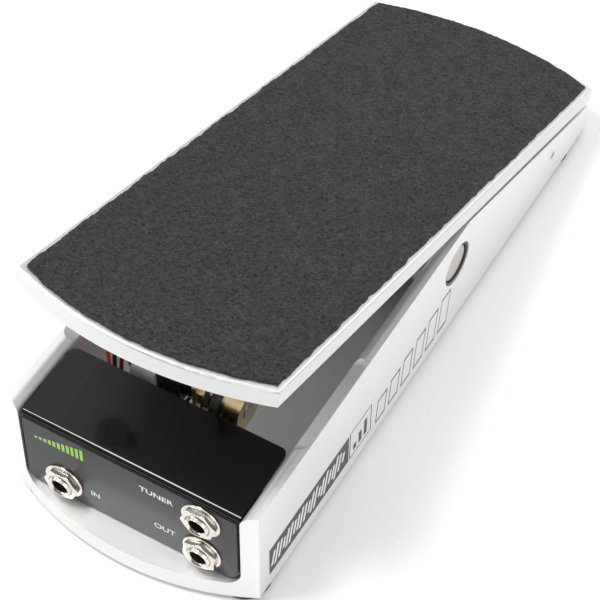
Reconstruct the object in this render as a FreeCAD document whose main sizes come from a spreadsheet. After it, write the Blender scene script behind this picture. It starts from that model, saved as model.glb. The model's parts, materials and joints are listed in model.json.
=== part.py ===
"""Volume pedal: an aluminium channel base, a pivoting foot treadle and a cord-driven potentiometer.

Frame: +Z up, +X across the pedal, the toe end at -Y.  The origin is on the floor under the middle
of the whole pedal.  Sizes are millimetres and live in the spreadsheet "Dims".

Two local frames carry everything.  Fixed pieces are drawn in the base frame, whose origin is at
the toe corner of the base's underside.  Pieces that swing are drawn in the pivot frame, whose
origin is on the axle with the treadle level; its placement tilts them to the heel-down rest.
"""
import FreeCAD, Part
import math
import os
import re
import Sketcher

Vector = FreeCAD.Vector

SIZES = {
    # base channel
    "base_width": 101.6, "base_length": 262.7, "base_bow": 12.6, "wall_height": 50.0,
    "wall_thickness": 5.8, "floor_thickness": 8.35, "floor_fillet": 6.0, "wall_lip_drop": 4.0,
    "wall_lip_land": 1.8, "slope_from_toe": 152.5, "slope_end_height": 12.6,
    "relief_from_toe": 29.0, "relief_length": 50.0, "relief_depth": 2.7, "relief_cutter": 6.0,
    "relief_edge": 0.5,
    "foot_height": 2.5, "foot_radius": 9.5, "foot_inset_side": 9.8, "foot_inset_toe": 6.4,
    "foot_inset_heel": 18.0, "foot_screw_radius": 1.6, "foot_screw_head": 3.4,
    "foot_screw_length": 9.0, "foot_recess": 1.6,
    # pivot
    "pivot_from_toe": 144.0, "pivot_height": 34.0, "rest_angle": 18.51, "axle_radius": 7.94,
    "axle_recess": 1.0, "axle_chamfer": 0.6, "running_clearance": 0.06, "press_gap": 0.02,
    "bushing_wall": 1.2, "bushing_flange_radius": 12.0, "bushing_flange": 1.4,
    "bushing_recess": 0.4, "thrust_washer": 0.6, "side_play": 0.1,
    # treadle, its edges measured from the base's corners and its height from the pivot
    "tread_side_inset": 0.0, "tread_thickness": 6.35, "tread_toe_overhang": 1.3,
    "tread_heel_inset": 0.4, "tread_bow": 11.4, "pivot_to_tread": 19.77, "tread_edge": 1.0,
    "grip_inset": 2.2, "grip_thickness": 0.9, "grip_corner": 2.0,
    "lug_thickness": 10.0, "lug_half_length": 12.0, "lug_screw_offset": 7.6,
    "lug_screw_radius": 1.9, "lug_screw_head": 4.4, "lug_screw_bite": 8.0, "screw_gap": 0.1,
    "set_screw_radius": 2.0, "set_screw_socket": 1.0, "socket_depth": 1.5,
    # electronics cover and front panel
    "cover_clearance": 0.7, "cover_face": 1.9, "cover_sheet": 1.6, "cover_top": 47.2,
    "cover_depth": 31.0, "cover_flange": 14.0, "cover_corner": 3.0, "cover_bend": 2.0,
    "panel_thickness": 0.8, "panel_side_inset": 0.6, "panel_top_inset": 2.1, "panel_lift": 0.4,
    "panel_corner": 6.0, "cover_screw_reach": 12.0, "cover_screw_from_toe": 6.0,
    # jacks
    "input_x": -28.0, "input_z": 17.8, "tuner_x": 29.7, "tuner_drop": 9.9, "output_x": 29.5,
    "output_z": 17.4, "jack_bore": 3.2, "jack_thread": 4.75, "jack_stand_out": 4.0,
    "jack_flange_radius": 6.8, "jack_flange": 2.0, "nut_across_flats": 12.7, "nut_thickness": 2.2,
    "washer_radius": 7.8, "washer_thickness": 0.8, "jack_hole_gap": 0.1, "housing_width": 15.0,
    "housing_height": 14.5, "housing_depth": 24.0, "housing_cavity": 3.6, "housing_back": 2.0,
    "tab_width": 2.4, "tab_thickness": 0.5, "tab_length": 4.0, "tab_spread": 4.0,
    # potentiometer and cord drum, axis across the pedal
    "pot_from_toe": 45.0, "pot_height": 37.0, "bracket_sheet": 1.8, "bracket_half_width": 6.5,
    "bracket_top": 44.0, "bracket_foot": 17.0, "bracket_screw_x": 11.0,
    "bracket_screw_spread": 3.6, "pot_bushing": 3.9, "pot_bushing_end": 3.9,
    "pot_nut_flats": 10.0, "pot_nut": 1.8, "pot_neck_radius": 5.2, "pot_neck": 5.0,
    "pot_block": 10.0, "pot_block_half": 6.3, "pot_can_radius": 8.5, "pot_can": 10.0,
    "shaft_radius": 3.17, "shaft_start": -12.0, "shaft_end": 19.9,
    "drum_start": 4.4, "drum_flange": 1.0, "drum_flange_radius": 8.0, "drum_core_end": 13.2,
    "drum_end": 19.6, "groove_depth": 0.5, "drum_screw_radius": 1.6, "drum_screw_x": 16.4,
    "drum_screw_recess": 1.6,
    # drive cord, spring and heel guide
    "cord_radius": 0.9, "cord_core": 6.6, "cord_pitch": 1.95,
    "post_radius": 2.2, "post_length": 6.0, "post_collar": 1.0, "toe_post_past_drum": 7.0,
    "heel_post_past_guide": 6.9, "cord_gap": 0.15, "spring_before_guide": 79.0,
    "spring_length": 32.0, "spring_radius": 2.6,
    "spring_wire": 0.8, "ferrule_radius": 1.3, "ferrule_length": 4.0,
    "guide_from_heel": 33.7, "guide_height": 13.9, "guide_pin_radius": 1.9,
    "guide_groove": 3.2, "guide_rim": 5.2, "guide_width": 6.0, "guide_rim_width": 1.2,
    "collar_radius": 3.6, "collar_width": 2.0,
    # rubber stops
    "stop_radius": 6.0, "stop_x": 30.0, "heel_stop_from_heel": 22.7, "heel_stop_gap": 0.35,
    "toe_stop_from_toe": 18.0, "toe_stop_height": 6.1,
    # internal wires
    "wire_radius": 0.8,
}

doc = FreeCAD.newDocument("VolumePedal")
sheet = doc.addObject("Spreadsheet::Sheet", "Dims")
for row, (size_name, size) in enumerate(SIZES.items(), start=1):
    sheet.set("A%d" % row, size_name)
    sheet.set("B%d" % row, str(size))
    sheet.setAlias("B%d" % row, size_name)
doc.recompute()

WORDS = re.compile(r"[a-z]\w*")


def bound(text):
    """Return an expression with each size's name pointed at its spreadsheet cell."""
    return WORDS.sub(lambda w: "Dims." + w.group(0) if w.group(0) in SIZES else w.group(0),
                     str(text))


def number(text):
    """Return an expression's present value, for first guesses and for hand-made shapes."""
    return float(sheet.evalExpression(bound(text)))


def bind(item, **values):
    """Tie properties of an object to expressions; double underscores stand for dots."""
    for prop, text in values.items():
        item.setExpression(prop.replace("__", "."), bound(text))
    return item


# ---------------------------------------------------------------- the two frames and the nodes

NODES = []
INNER_HALF = "(base_width/2 - wall_thickness)"
LUG_OUTER = "(%s - bushing_flange - thrust_washer - 2*side_play)" % INNER_HALF


def name_node(item, label):
    """Label an object as one of the pedal's pieces."""
    item.Label = label
    NODES.append(item)
    return item


def in_base(item, label, offset=("0", "0", "0")):
    """Place a piece drawn in the base frame, shifted by an offset in that frame."""
    bind(item, Placement__Base__x=offset[0],
         Placement__Base__y="%s - base_length/2" % offset[1],
         Placement__Base__z="%s + foot_height" % offset[2])
    return name_node(item, label)


def in_pivot(item, label, across="0"):
    """Place a piece drawn in the pivot frame: on the axle, tilted to the rest angle."""
    item.Placement = FreeCAD.Placement(Vector(), FreeCAD.Rotation(Vector(-1, 0, 0), 10))
    bind(item, Placement__Base__x=across,
         Placement__Base__y="pivot_from_toe - base_length/2",
         Placement__Base__z="pivot_height + foot_height",
         Placement__Rotation__Angle="rest_angle")
    return name_node(item, label)


# ---------------------------------------------------------------- sketches and body features

def new_body(name):
    return doc.addObject("PartDesign::Body", name + "_body")


def new_sketch(body, name, plane, height="0"):
    """Attach an empty sketch to one of the body's origin planes, raised by an expression."""
    sketch = body.newObject("Sketcher::SketchObject", name)
    support = [item for item in body.Origin.OriginFeatures if item.Role == plane][0]
    sketch.AttachmentSupport = (support, [""])
    sketch.MapMode = "FlatFace"
    bind(sketch, AttachmentOffset__Base__z=height)
    return sketch


def pin_point(sketch, geometry, end, x, y):
    """Fix one point of a sketch at a pair of expressions."""
    for kind, text, tag in (("DistanceX", x, "x"), ("DistanceY", y, "y")):
        index = sketch.addConstraint(
            Sketcher.Constraint(kind, -1, 1, geometry, end, number(text)))
        label = "%s%d" % (tag, index)
        sketch.renameConstraint(index, label)
        sketch.setExpression("Constraints." + label, bound(text))


def draw_outline(sketch, points):
    """Draw a closed outline.  A point is (x, y), or (x, y, mx, my) to leave it by an arc
    through (mx, my)."""
    start = sketch.GeometryCount
    total = len(points)
    spots = [Vector(number(p[0]), number(p[1]), 0) for p in points]
    for index, point in enumerate(points):
        here, there = spots[index], spots[(index + 1) % total]
        if len(point) == 4:
            middle = Vector(number(point[2]), number(point[3]), 0)
            through = Part.Circle(here, middle, there)
            circle = Part.Circle(through.Center, Vector(0, 0, 1), through.Radius)
            angles = arc_angles(circle.Center, here, middle, there)
            sketch.addGeometry(Part.ArcOfCircle(circle, *angles), False)
        else:
            sketch.addGeometry(Part.LineSegment(here, there), False)
    ends = [edge_ends(sketch.Geometry[start + i], spots[i]) for i in range(total)]
    for index, point in enumerate(points):
        following = (index + 1) % total
        sketch.addConstraint(Sketcher.Constraint("Coincident", start + index, ends[index][1],
                                                 start + following, ends[following][0]))
        pin_point(sketch, start + index, ends[index][0], point[0], point[1])
        if len(point) == 4:
            marker = sketch.addGeometry(
                Part.Point(Vector(number(point[2]), number(point[3]), 0)), True)
            pin_point(sketch, marker, 1, point[2], point[3])
            sketch.addConstraint(Sketcher.Constraint("PointOnObject", marker, 1, start + index))


def arc_angles(centre, here, middle, there):
    """Return an arc's start and end angles, counter-clockwise, passing the middle point."""
    turn = 2 * math.pi
    first, mid, last = [math.atan2(p.y - centre.y, p.x - centre.x) for p in (here, middle, there)]
    if (mid - first) % turn < (last - first) % turn:
        return first, first + (last - first) % turn
    return last, last + (first - last) % turn


def edge_ends(edge, first_spot):
    """Return which numbered ends of an edge are its first and second point."""
    near_start = (edge.StartPoint - first_spot).Length < (edge.EndPoint - first_spot).Length
    return (1, 2) if near_start else (2, 1)


def draw_circle(sketch, x, y, radius):
    """Draw a circle whose centre and radius follow expressions."""
    index = sketch.addGeometry(Part.Circle(Vector(number(x), number(y), 0), Vector(0, 0, 1),
                                           number(radius)), False)
    pin_point(sketch, index, 3, x, y)
    size = sketch.addConstraint(Sketcher.Constraint("Radius", index, number(radius)))
    sketch.renameConstraint(size, "r%d" % size)
    sketch.setExpression("Constraints.r%d" % size, bound(radius))


def pad(body, name, sketch, length, side="One side"):
    feature = body.newObject("PartDesign::Pad", name)
    feature.Profile = sketch
    feature.SideType = side
    bind(feature, Length=length)
    doc.recompute()
    return feature


def pocket_through(body, name, sketch):
    """Cut a sketch right through the body both ways, and check that it removed something."""
    before = body.Shape.Volume
    feature = body.newObject("PartDesign::Pocket", name)
    feature.Profile = sketch
    feature.SideType = "Symmetric"
    feature.Type = "ThroughAll"
    doc.recompute()
    if not body.Shape.Volume < before:
        raise RuntimeError(name + " cuts nothing")
    return feature


def revolve(name, points, plane="XZ_Plane", axis="H_Axis"):
    """Make a body by turning an outline about one axis of its own sketch."""
    body = new_body(name)
    sketch = new_sketch(body, name + "_profile", plane)
    draw_outline(sketch, points)
    feature = body.newObject("PartDesign::Revolution", name + "_turned")
    feature.Profile = sketch
    feature.ReferenceAxis = (sketch, [axis])
    feature.Angle = 360
    doc.recompute()
    return body


def bore(body, name, shape, at, axis=(0, 0, 1), angle=0, **sizes):
    """Subtract a cylinder or a cone from a body at a point given by three expressions."""
    before = body.Shape.Volume
    feature = body.newObject("PartDesign::Subtractive" + shape, name)
    feature.Placement = FreeCAD.Placement(Vector(*[number(a) for a in at]),
                                          FreeCAD.Rotation(Vector(*axis), angle))
    bind(feature, Placement__Base__x=at[0], Placement__Base__y=at[1], Placement__Base__z=at[2],
         **sizes)
    doc.recompute()
    if not body.Shape.Volume < before:
        raise RuntimeError(name + " cuts nothing")
    return feature


# ---------------------------------------------------------------- primitives and booleans

TURNS = {"x": (Vector(0, 1, 0), 90), "y": (Vector(1, 0, 0), -90), "z": (Vector(0, 0, 1), 0)}


def place(item, at, axis="z"):
    item.Placement = FreeCAD.Placement(Vector(), FreeCAD.Rotation(*TURNS[axis]))
    return bind(item, Placement__Base__x=at[0], Placement__Base__y=at[1],
                Placement__Base__z=at[2])


def rod(name, radius, length, at, axis="z"):
    """A cylinder that starts at a point and runs along a positive axis."""
    item = bind(doc.addObject("Part::Cylinder", name), Radius=radius, Height=length)
    return place(item, at, axis)


def block(name, sides, at):
    item = bind(doc.addObject("Part::Box", name), Length=sides[0], Width=sides[1],
                Height=sides[2])
    return place(item, at)


def cone(name, low, high, length, at):
    item = bind(doc.addObject("Part::Cone", name), Radius1=low, Radius2=high, Height=length)
    return place(item, at)


def hexagon(name, across_flats, length, at, axis="z"):
    item = bind(doc.addObject("Part::Prism", name), Circumradius=across_flats + "/sqrt(3)",
                Height=length)
    item.Polygon = 6
    return place(item, at, axis)


def cut(name, base, tool):
    item = doc.addObject("Part::Cut", name)
    item.Base, item.Tool = base, tool
    return item


def fuse(name, pieces):
    item = doc.addObject("Part::MultiFuse", name)
    item.Shapes = pieces
    return item


def group(name, pieces):
    item = doc.addObject("Part::Compound", name)
    item.Links = pieces
    return item


# ---------------------------------------------------------------- places shared by the pieces

BUSHING_OUTER = "axle_radius + running_clearance + bushing_wall"
GUIDE_Y = "(base_length - guide_from_heel)"
FOOT_PLACES = [("%s(base_width/2 - foot_inset_side)" % side, y)
               for side in ("-", "")
               for y in ("foot_inset_toe", "base_length - foot_inset_heel")]
COVER_SCREW_PLACES = [(side + "cover_screw_reach", "cover_screw_from_toe")
                      for side in ("-", "")]
BRACKET_SCREW_PLACES = [("bracket_screw_x", "pot_from_toe %s bracket_screw_spread" % side)
                        for side in ("-", "+")]
LUG_MID = "(%s - lug_thickness/2)" % LUG_OUTER
LUG_SCREW_PLACES = [(side + LUG_MID, turn + "lug_screw_offset")
                    for side in ("-", "") for turn in ("-", "")]
TREAD_HALF = "(base_width/2 - tread_side_inset)"
TREAD_TOE = "(pivot_from_toe + tread_toe_overhang)"
TREAD_HEEL = "(base_length - pivot_from_toe - tread_heel_inset)"
TREAD_TOP = "(pivot_to_tread + tread_thickness)"


# ---------------------------------------------------------------- base channel

def bowed_plan(half_width, toe, heel, bow):
    """A rectangle in plan whose toe and heel ends bulge outwards as arcs."""
    return [("-" + half_width, toe, "0", "%s - %s" % (toe, bow)),
            (half_width, toe),
            (half_width, heel, "0", "%s + %s" % (heel, bow)),
            ("-" + half_width, heel)]


def scoop_wall(body, side, sign):
    """Scoop one wall's top near the toe: full height at its outer edge, lowest at its inner."""
    slope = "(relief_depth/(wall_thickness - relief_edge))"
    corner = "relief_cutter*(1 - cos(45))"
    far = "relief_from_toe + relief_length"
    sections = []
    for name, x, bottom in (
            ("outer", "base_width/2 + relief_edge", "wall_height + 2*relief_edge*%s" % slope),
            ("inner", "%s - relief_edge" % INNER_HALF,
             "wall_height - relief_depth - relief_edge*%s" % slope)):
        sketch = new_sketch(body, "scoop_%s_%s" % (side, name), "YZ_Plane", "%s(%s)" % (sign, x))
        draw_outline(sketch, [
            ("relief_from_toe", bottom + " + relief_cutter",
             "relief_from_toe + " + corner, "%s + %s" % (bottom, corner)),
            ("relief_from_toe + relief_cutter", bottom),
            (far + " - relief_cutter", bottom,
             "%s - %s" % (far, corner), "%s + %s" % (bottom, corner)),
            (far, bottom + " + relief_cutter"),
            (far, "2*wall_height"),
            ("relief_from_toe", "2*wall_height")])
        sections.append(sketch)
    before = body.Shape.Volume
    loft = body.newObject("PartDesign::SubtractiveLoft", "base_scoop_" + side)
    loft.Profile = sections[0]
    loft.Sections = sections[1:]
    loft.Ruled = True
    doc.recompute()
    if not body.Shape.Volume < before:
        raise RuntimeError("the %s scoop cuts nothing" % side)


def make_base():
    """Extruded channel with bowed ends: floor, two walls, a heel slope and wall-top scoops."""
    body = new_body("base_channel")
    plan = new_sketch(body, "base_plan", "XY_Plane")
    draw_outline(plan, bowed_plan("base_width/2", "0", "base_length", "base_bow"))
    pad(body, "base_block", plan, "wall_height")

    trough = new_sketch(body, "base_trough", "XZ_Plane")
    turn = "floor_fillet*(1 - cos(45))"
    lip = "(base_width/2 - wall_lip_land)"
    rise = "(wall_height - wall_lip_drop)"
    spread = "(wall_thickness - wall_lip_land)"
    bend = "((wall_lip_drop^2 + %s^2)/(2*%s))" % (spread, spread)
    half_turn = "(asin(wall_lip_drop/%s)/2)" % bend
    lip_mid_x = "(%s + %s*(1 - cos(%s)))" % (INNER_HALF, bend, half_turn)
    lip_mid_z = "(%s + %s*sin(%s))" % (rise, bend, half_turn)
    above = "(wall_height + wall_lip_drop)"
    draw_outline(trough, [
        ("-(%s - floor_fillet)" % INNER_HALF, "floor_thickness"),
        ("%s - floor_fillet" % INNER_HALF, "floor_thickness",
         "%s - %s" % (INNER_HALF, turn), "floor_thickness + " + turn),
        (INNER_HALF, "floor_thickness + floor_fillet"),
        (INNER_HALF, rise, lip_mid_x, lip_mid_z),
        (lip, "wall_height"),
        (lip, above),
        ("-" + lip, above),
        ("-" + lip, "wall_height", "-" + lip_mid_x, lip_mid_z),
        ("-" + INNER_HALF, rise),
        ("-" + INNER_HALF, "floor_thickness + floor_fillet",
         "-(%s - %s)" % (INNER_HALF, turn), "floor_thickness + " + turn)])
    pocket_through(body, "base_trough_cut", trough)

    side = new_sketch(body, "base_side", "YZ_Plane")
    fall = "((wall_height - slope_end_height)/(base_length - slope_from_toe))"
    past = "(base_length + 2*base_bow)"
    draw_outline(side, [
        ("slope_from_toe", "wall_height"),
        (past, "wall_height - %s*(%s - slope_from_toe)" % (fall, past)),
        (past, "2*wall_height"),
        ("slope_from_toe", "2*wall_height")])
    pocket_through(body, "base_slope_cut", side)

    for side, sign in (("left", "-"), ("right", "")):
        scoop_wall(body, side, sign)

    side_holes = new_sketch(body, "base_side_holes", "YZ_Plane")
    draw_circle(side_holes, "pivot_from_toe", "pivot_height", BUSHING_OUTER + " + press_gap")
    draw_circle(side_holes, GUIDE_Y, "guide_height", "guide_pin_radius + press_gap")
    pocket_through(body, "base_side_holes_cut", side_holes)

    floor_holes = new_sketch(body, "base_floor_holes", "XY_Plane")
    for x, y in FOOT_PLACES + COVER_SCREW_PLACES + BRACKET_SCREW_PLACES:
        draw_circle(floor_holes, x, y, "foot_screw_radius + screw_gap")
    pocket_through(body, "base_floor_holes_cut", floor_holes)
    return in_base(body, "base_channel")


def make_feet():
    """Four round rubber feet, each with a recess that hides its screw's head."""
    feet, screws = [], []
    for index, (x, y) in enumerate(FOOT_PLACES):
        disc = rod("foot_disc_%d" % index, "foot_radius", "foot_height", (x, y, "-foot_height"))
        recess = rod("foot_recess_%d" % index, "foot_screw_head + screw_gap", "foot_recess",
                     (x, y, "-foot_height"))
        hole = rod("foot_hole_%d" % index, "foot_screw_radius + screw_gap", "2*foot_height",
                   (x, y, "-1.5*foot_height"))
        feet.append(cut("foot_%d" % index, disc, fuse("foot_hollow_%d" % index, [recess, hole])))
        head = rod("foot_screw_head_%d" % index, "foot_screw_head", "foot_recess/2",
                   (x, y, "foot_recess/2 - foot_height"))
        shank = rod("foot_screw_shank_%d" % index, "foot_screw_radius", "foot_screw_length",
                    (x, y, "foot_recess/2 - foot_height"))
        screws.append(fuse("foot_screw_%d" % index, [head, shank]))
    in_base(group("rubber_feet_group", feet), "rubber_feet")
    in_base(group("foot_screws_group", screws), "foot_screws")


# ---------------------------------------------------------------- treadle and pivot

def make_treadle():
    """Flat foot plate with bowed ends, softened top edges and four countersunk holes."""
    body = new_body("treadle_plate")
    plan = new_sketch(body, "treadle_plan", "XY_Plane", "pivot_to_tread")
    draw_outline(plan, bowed_plan(TREAD_HALF, "-" + TREAD_TOE, TREAD_HEEL, "tread_bow"))
    plate = pad(body, "treadle_pad", plan, "tread_thickness")
    top = number(TREAD_TOP)
    edges = ["Edge%d" % index for index, edge in enumerate(plate.Shape.Edges, start=1)
             if min(vertex.Point.z for vertex in edge.Vertexes) > top - 0.01]
    fillet = body.newObject("PartDesign::Fillet", "treadle_edge")
    fillet.Base = (plate, edges)
    bind(fillet, Radius="tread_edge")
    doc.recompute()
    for index, (x, y) in enumerate(LUG_SCREW_PLACES):
        bore(body, "treadle_hole_%d" % index, "Cylinder", (x, y, "pivot_to_tread - 1"),
             Radius="lug_screw_radius + screw_gap", Height="tread_thickness + 2")
        bore(body, "treadle_sink_%d" % index, "Cone",
             (x, y, "%s - lug_screw_head + lug_screw_radius" % TREAD_TOP),
             Radius1="lug_screw_radius + screw_gap", Radius2="lug_screw_head + screw_gap",
             Height="lug_screw_head - lug_screw_radius")
    return in_pivot(body, "treadle_plate")


def make_grip():
    """Thin abrasive grip sheet stuck on the plate, inset from its edge all round."""
    body = new_body("grip_sheet")
    plan = new_sketch(body, "grip_plan", "XY_Plane", TREAD_TOP)
    draw_outline(plan, bowed_plan("(%s - grip_inset)" % TREAD_HALF,
                                  "(grip_inset - %s)" % TREAD_TOE,
                                  "(%s - grip_inset)" % TREAD_HEEL, "tread_bow"))
    sheet_pad = pad(body, "grip_pad", plan, "grip_thickness")
    upright = ["Edge%d" % index for index, edge in enumerate(sheet_pad.Shape.Edges, start=1)
               if abs(edge.tangentAt(edge.FirstParameter).z) > 0.99]
    fillet = body.newObject("PartDesign::Fillet", "grip_corners")
    fillet.Base = (sheet_pad, upright)
    bind(fillet, Radius="grip_corner")
    doc.recompute()
    return in_pivot(body, "grip_sheet")


def make_lug(label, start):
    """Block that hangs under the plate, clamps the axle and takes two screws from above."""
    body = new_body(label)
    side = new_sketch(body, label + "_side", "YZ_Plane")
    draw_outline(side, [
        ("lug_half_length", "0"),
        ("lug_half_length", "pivot_to_tread"),
        ("-lug_half_length", "pivot_to_tread"),
        ("-lug_half_length", "0", "0", "-lug_half_length")])
    draw_circle(side, "0", "0", "axle_radius + press_gap")
    pad(body, label + "_pad", side, "lug_thickness")
    for index, turn in enumerate(("-", "")):
        bore(body, "%s_thread_%d" % (label, index), "Cylinder",
             ("lug_thickness/2", turn + "lug_screw_offset",
              "pivot_to_tread - lug_screw_bite - 1"),
             Radius="lug_screw_radius + press_gap", Height="lug_screw_bite + 2")
    bore(body, label + "_set_hole", "Cylinder",
         ("lug_thickness/2", "0", "-lug_half_length - 1"),
         Radius="set_screw_radius + press_gap", Height="lug_half_length")
    return in_pivot(body, label, start)


def make_pivot():
    """Lugs, axle, bushings, thrust washers and the screws that hold them."""
    make_lug("pivot_lug_left", "-" + LUG_OUTER)
    make_lug("pivot_lug_right", "%s - lug_thickness" % LUG_OUTER)

    end = "(base_width/2 - axle_recess)"
    rim = "(axle_radius - axle_chamfer)"
    axle = revolve("pivot_axle", [
        ("-" + end, "0"), (end, "0"), (end, rim), (end + " - axle_chamfer", "axle_radius"),
        ("-(%s - axle_chamfer)" % end, "axle_radius"), ("-" + end, rim)])
    in_pivot(axle, "pivot_axle")

    for label, side in (("axle_bushing_left", "-"), ("axle_bushing_right", "")):
        hub = "(axle_radius + running_clearance)"
        face = "%s(%s - bushing_flange)" % (side, INNER_HALF)
        wall = side + INNER_HALF
        outside = "%s(base_width/2 - bushing_recess)" % side
        bushing = revolve(label, [
            (face, hub), (outside, hub), (outside, BUSHING_OUTER), (wall, BUSHING_OUTER),
            (wall, "bushing_flange_radius"), (face, "bushing_flange_radius")])
        in_base(bushing, label, ("0", "pivot_from_toe", "pivot_height"))

    washers, set_screws, screws = [], [], []
    for side, start in (("left", "-%s - side_play - thrust_washer" % LUG_OUTER),
                        ("right", "%s + side_play" % LUG_OUTER)):
        disc = rod("thrust_disc_" + side, "bushing_flange_radius - 0.5", "thrust_washer",
                   (start, "0", "0"), "x")
        hole = rod("thrust_hole_" + side, "axle_radius + running_clearance", "thrust_washer",
                   (start, "0", "0"), "x")
        washers.append(cut("thrust_washer_" + side, disc, hole))
        middle = ("-" if side == "left" else "") + LUG_MID
        grub = rod("grub_" + side, "set_screw_radius",
                   "lug_half_length - axle_radius - 2*screw_gap",
                   (middle, "0", "screw_gap - lug_half_length"))
        socket = hexagon("grub_socket_" + side, "set_screw_socket*2", "socket_depth",
                         (middle, "0", "screw_gap - lug_half_length"))
        set_screws.append(cut("set_screw_" + side, grub, socket))
    in_pivot(group("thrust_washers_group", washers), "thrust_washers")
    in_pivot(group("axle_set_screws_group", set_screws), "axle_set_screws")

    for index, (x, y) in enumerate(LUG_SCREW_PLACES):
        head_height = "(lug_screw_head - lug_screw_radius)"
        head = cone("lug_screw_cone_%d" % index, "lug_screw_radius", "lug_screw_head",
                    head_height, (x, y, "%s - %s" % (TREAD_TOP, head_height)))
        shank = rod("lug_screw_shank_%d" % index, "lug_screw_radius",
                    "tread_thickness + lug_screw_bite - %s" % head_height,
                    (x, y, "pivot_to_tread - lug_screw_bite"))
        screws.append(fuse("lug_screw_%d" % index, [head, shank]))
    in_pivot(group("lug_screws_group", screws), "lug_screws")


# ---------------------------------------------------------------- electronics cover and jacks

JACKS = [("input_jack", "input_x", "input_z"),
         ("tuner_jack", "tuner_x", "(cover_top - tuner_drop)"),
         ("output_jack", "output_x", "output_z")]
COVER_HALF = "(%s - cover_clearance)" % INNER_HALF
PANEL_FACE = "(-cover_face - panel_thickness)"


def make_cover():
    """Folded sheet cover: bottom flange, front wall and a top with rounded rear corners."""
    body = new_body("electronics_cover")
    fold = new_sketch(body, "cover_fold", "YZ_Plane")
    front, inner = "-cover_face", "(cover_sheet - cover_face)"
    lift = "floor_thickness"
    outer_c = "(cover_bend*(1 - cos(45)))"
    inner_r = "(cover_bend - cover_sheet)"
    inner_c = "(cover_sheet + %s*(1 - cos(45)))" % inner_r
    draw_outline(fold, [
        ("cover_flange", lift),
        ("cover_flange", lift + " + cover_sheet"),
        (inner, lift + " + cover_sheet"),
        (inner, "cover_top - cover_bend",
         "%s + %s" % (front, inner_c), "cover_top - " + inner_c),
        (front + " + cover_bend", "cover_top - cover_sheet"),
        ("cover_depth", "cover_top - cover_sheet"),
        ("cover_depth", "cover_top"),
        (front + " + cover_bend", "cover_top",
         "%s + %s" % (front, outer_c), "cover_top - " + outer_c),
        (front, "cover_top - cover_bend"),
        (front, lift)])
    folded = pad(body, "cover_pad", fold, "2*" + COVER_HALF, "Symmetric")
    rear = number("cover_depth")
    corners = []
    for index, edge in enumerate(folded.Shape.Edges, start=1):
        middle = edge.CenterOfMass
        if middle.z > number("cover_top - cover_sheet") and abs(middle.y - rear) < 0.01:
            if abs(edge.tangentAt(edge.FirstParameter).z) > 0.99:
                corners.append("Edge%d" % index)
    fillet = body.newObject("PartDesign::Fillet", "cover_corners")
    fillet.Base = (folded, corners)
    bind(fillet, Radius="cover_corner")
    doc.recompute()
    corner = new_sketch(body, "cover_floor_corners", "XZ_Plane")
    round_ = "(floor_fillet + cover_clearance)"
    turn = "(%s*(1 - cos(45)))" % round_
    for side in ("-", ""):
        draw_outline(corner, [
            ("%s(%s - %s)" % (side, COVER_HALF, round_), lift,
             "%s(%s - %s)" % (side, COVER_HALF, turn), "%s + %s" % (lift, turn)),
            (side + COVER_HALF, "%s + %s" % (lift, round_)),
            (side + INNER_HALF, "%s + %s" % (lift, round_)),
            (side + INNER_HALF, "0"),
            ("%s(%s - %s)" % (side, COVER_HALF, round_), "0")])
    pocket_through(body, "cover_floor_corner_cut", corner)
    for label, x, z in JACKS:
        bore(body, label + "_cover_hole", "Cylinder", (x, front + " - 1", z), (1, 0, 0), -90,
             Radius="jack_thread + jack_hole_gap", Height="cover_sheet + 2")
    for index, (x, y) in enumerate(COVER_SCREW_PLACES):
        bore(body, "cover_thread_%d" % index, "Cylinder", (x, y, lift + " - 1"),
             Radius="foot_screw_radius + screw_gap", Height="cover_sheet + 2")
    in_base(body, "electronics_cover")

    panel = new_body("front_panel")
    face = new_sketch(panel, "panel_face", "XZ_Plane", "cover_face")
    low = "(floor_thickness + panel_lift)"
    turn = "(panel_corner*(1 - cos(45)))"
    edge = "(%s - panel_side_inset)" % COVER_HALF
    top = "cover_top - panel_top_inset"
    draw_outline(face, [
        ("-" + edge, top),
        ("-" + edge, low + " + panel_corner", "-%s + %s" % (edge, turn), low + " + " + turn),
        ("-%s + panel_corner" % edge, low),
        (edge + " - panel_corner", low, "%s - %s" % (edge, turn), low + " + " + turn),
        (edge, low + " + panel_corner"),
        (edge, top)])
    for label, x, z in JACKS:
        draw_circle(face, x, z, "jack_thread + jack_hole_gap")
    pad(panel, "panel_pad", face, "panel_thickness")
    in_base(panel, "front_panel")

    screws = []
    for index, (x, y) in enumerate(COVER_SCREW_PLACES):
        head = rod("cover_screw_head_%d" % index, "foot_screw_head", "foot_height/2",
                   (x, y, "-foot_height/2"))
        shank = rod("cover_screw_shank_%d" % index, "foot_screw_radius",
                    "floor_thickness + foot_height/2 + 2*cover_sheet",
                    (x, y, "-foot_height/2"))
        screws.append(fuse("cover_screw_%d" % index, [head, shank]))
    in_base(group("cover_screws_group", screws), "cover_screws")


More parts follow.
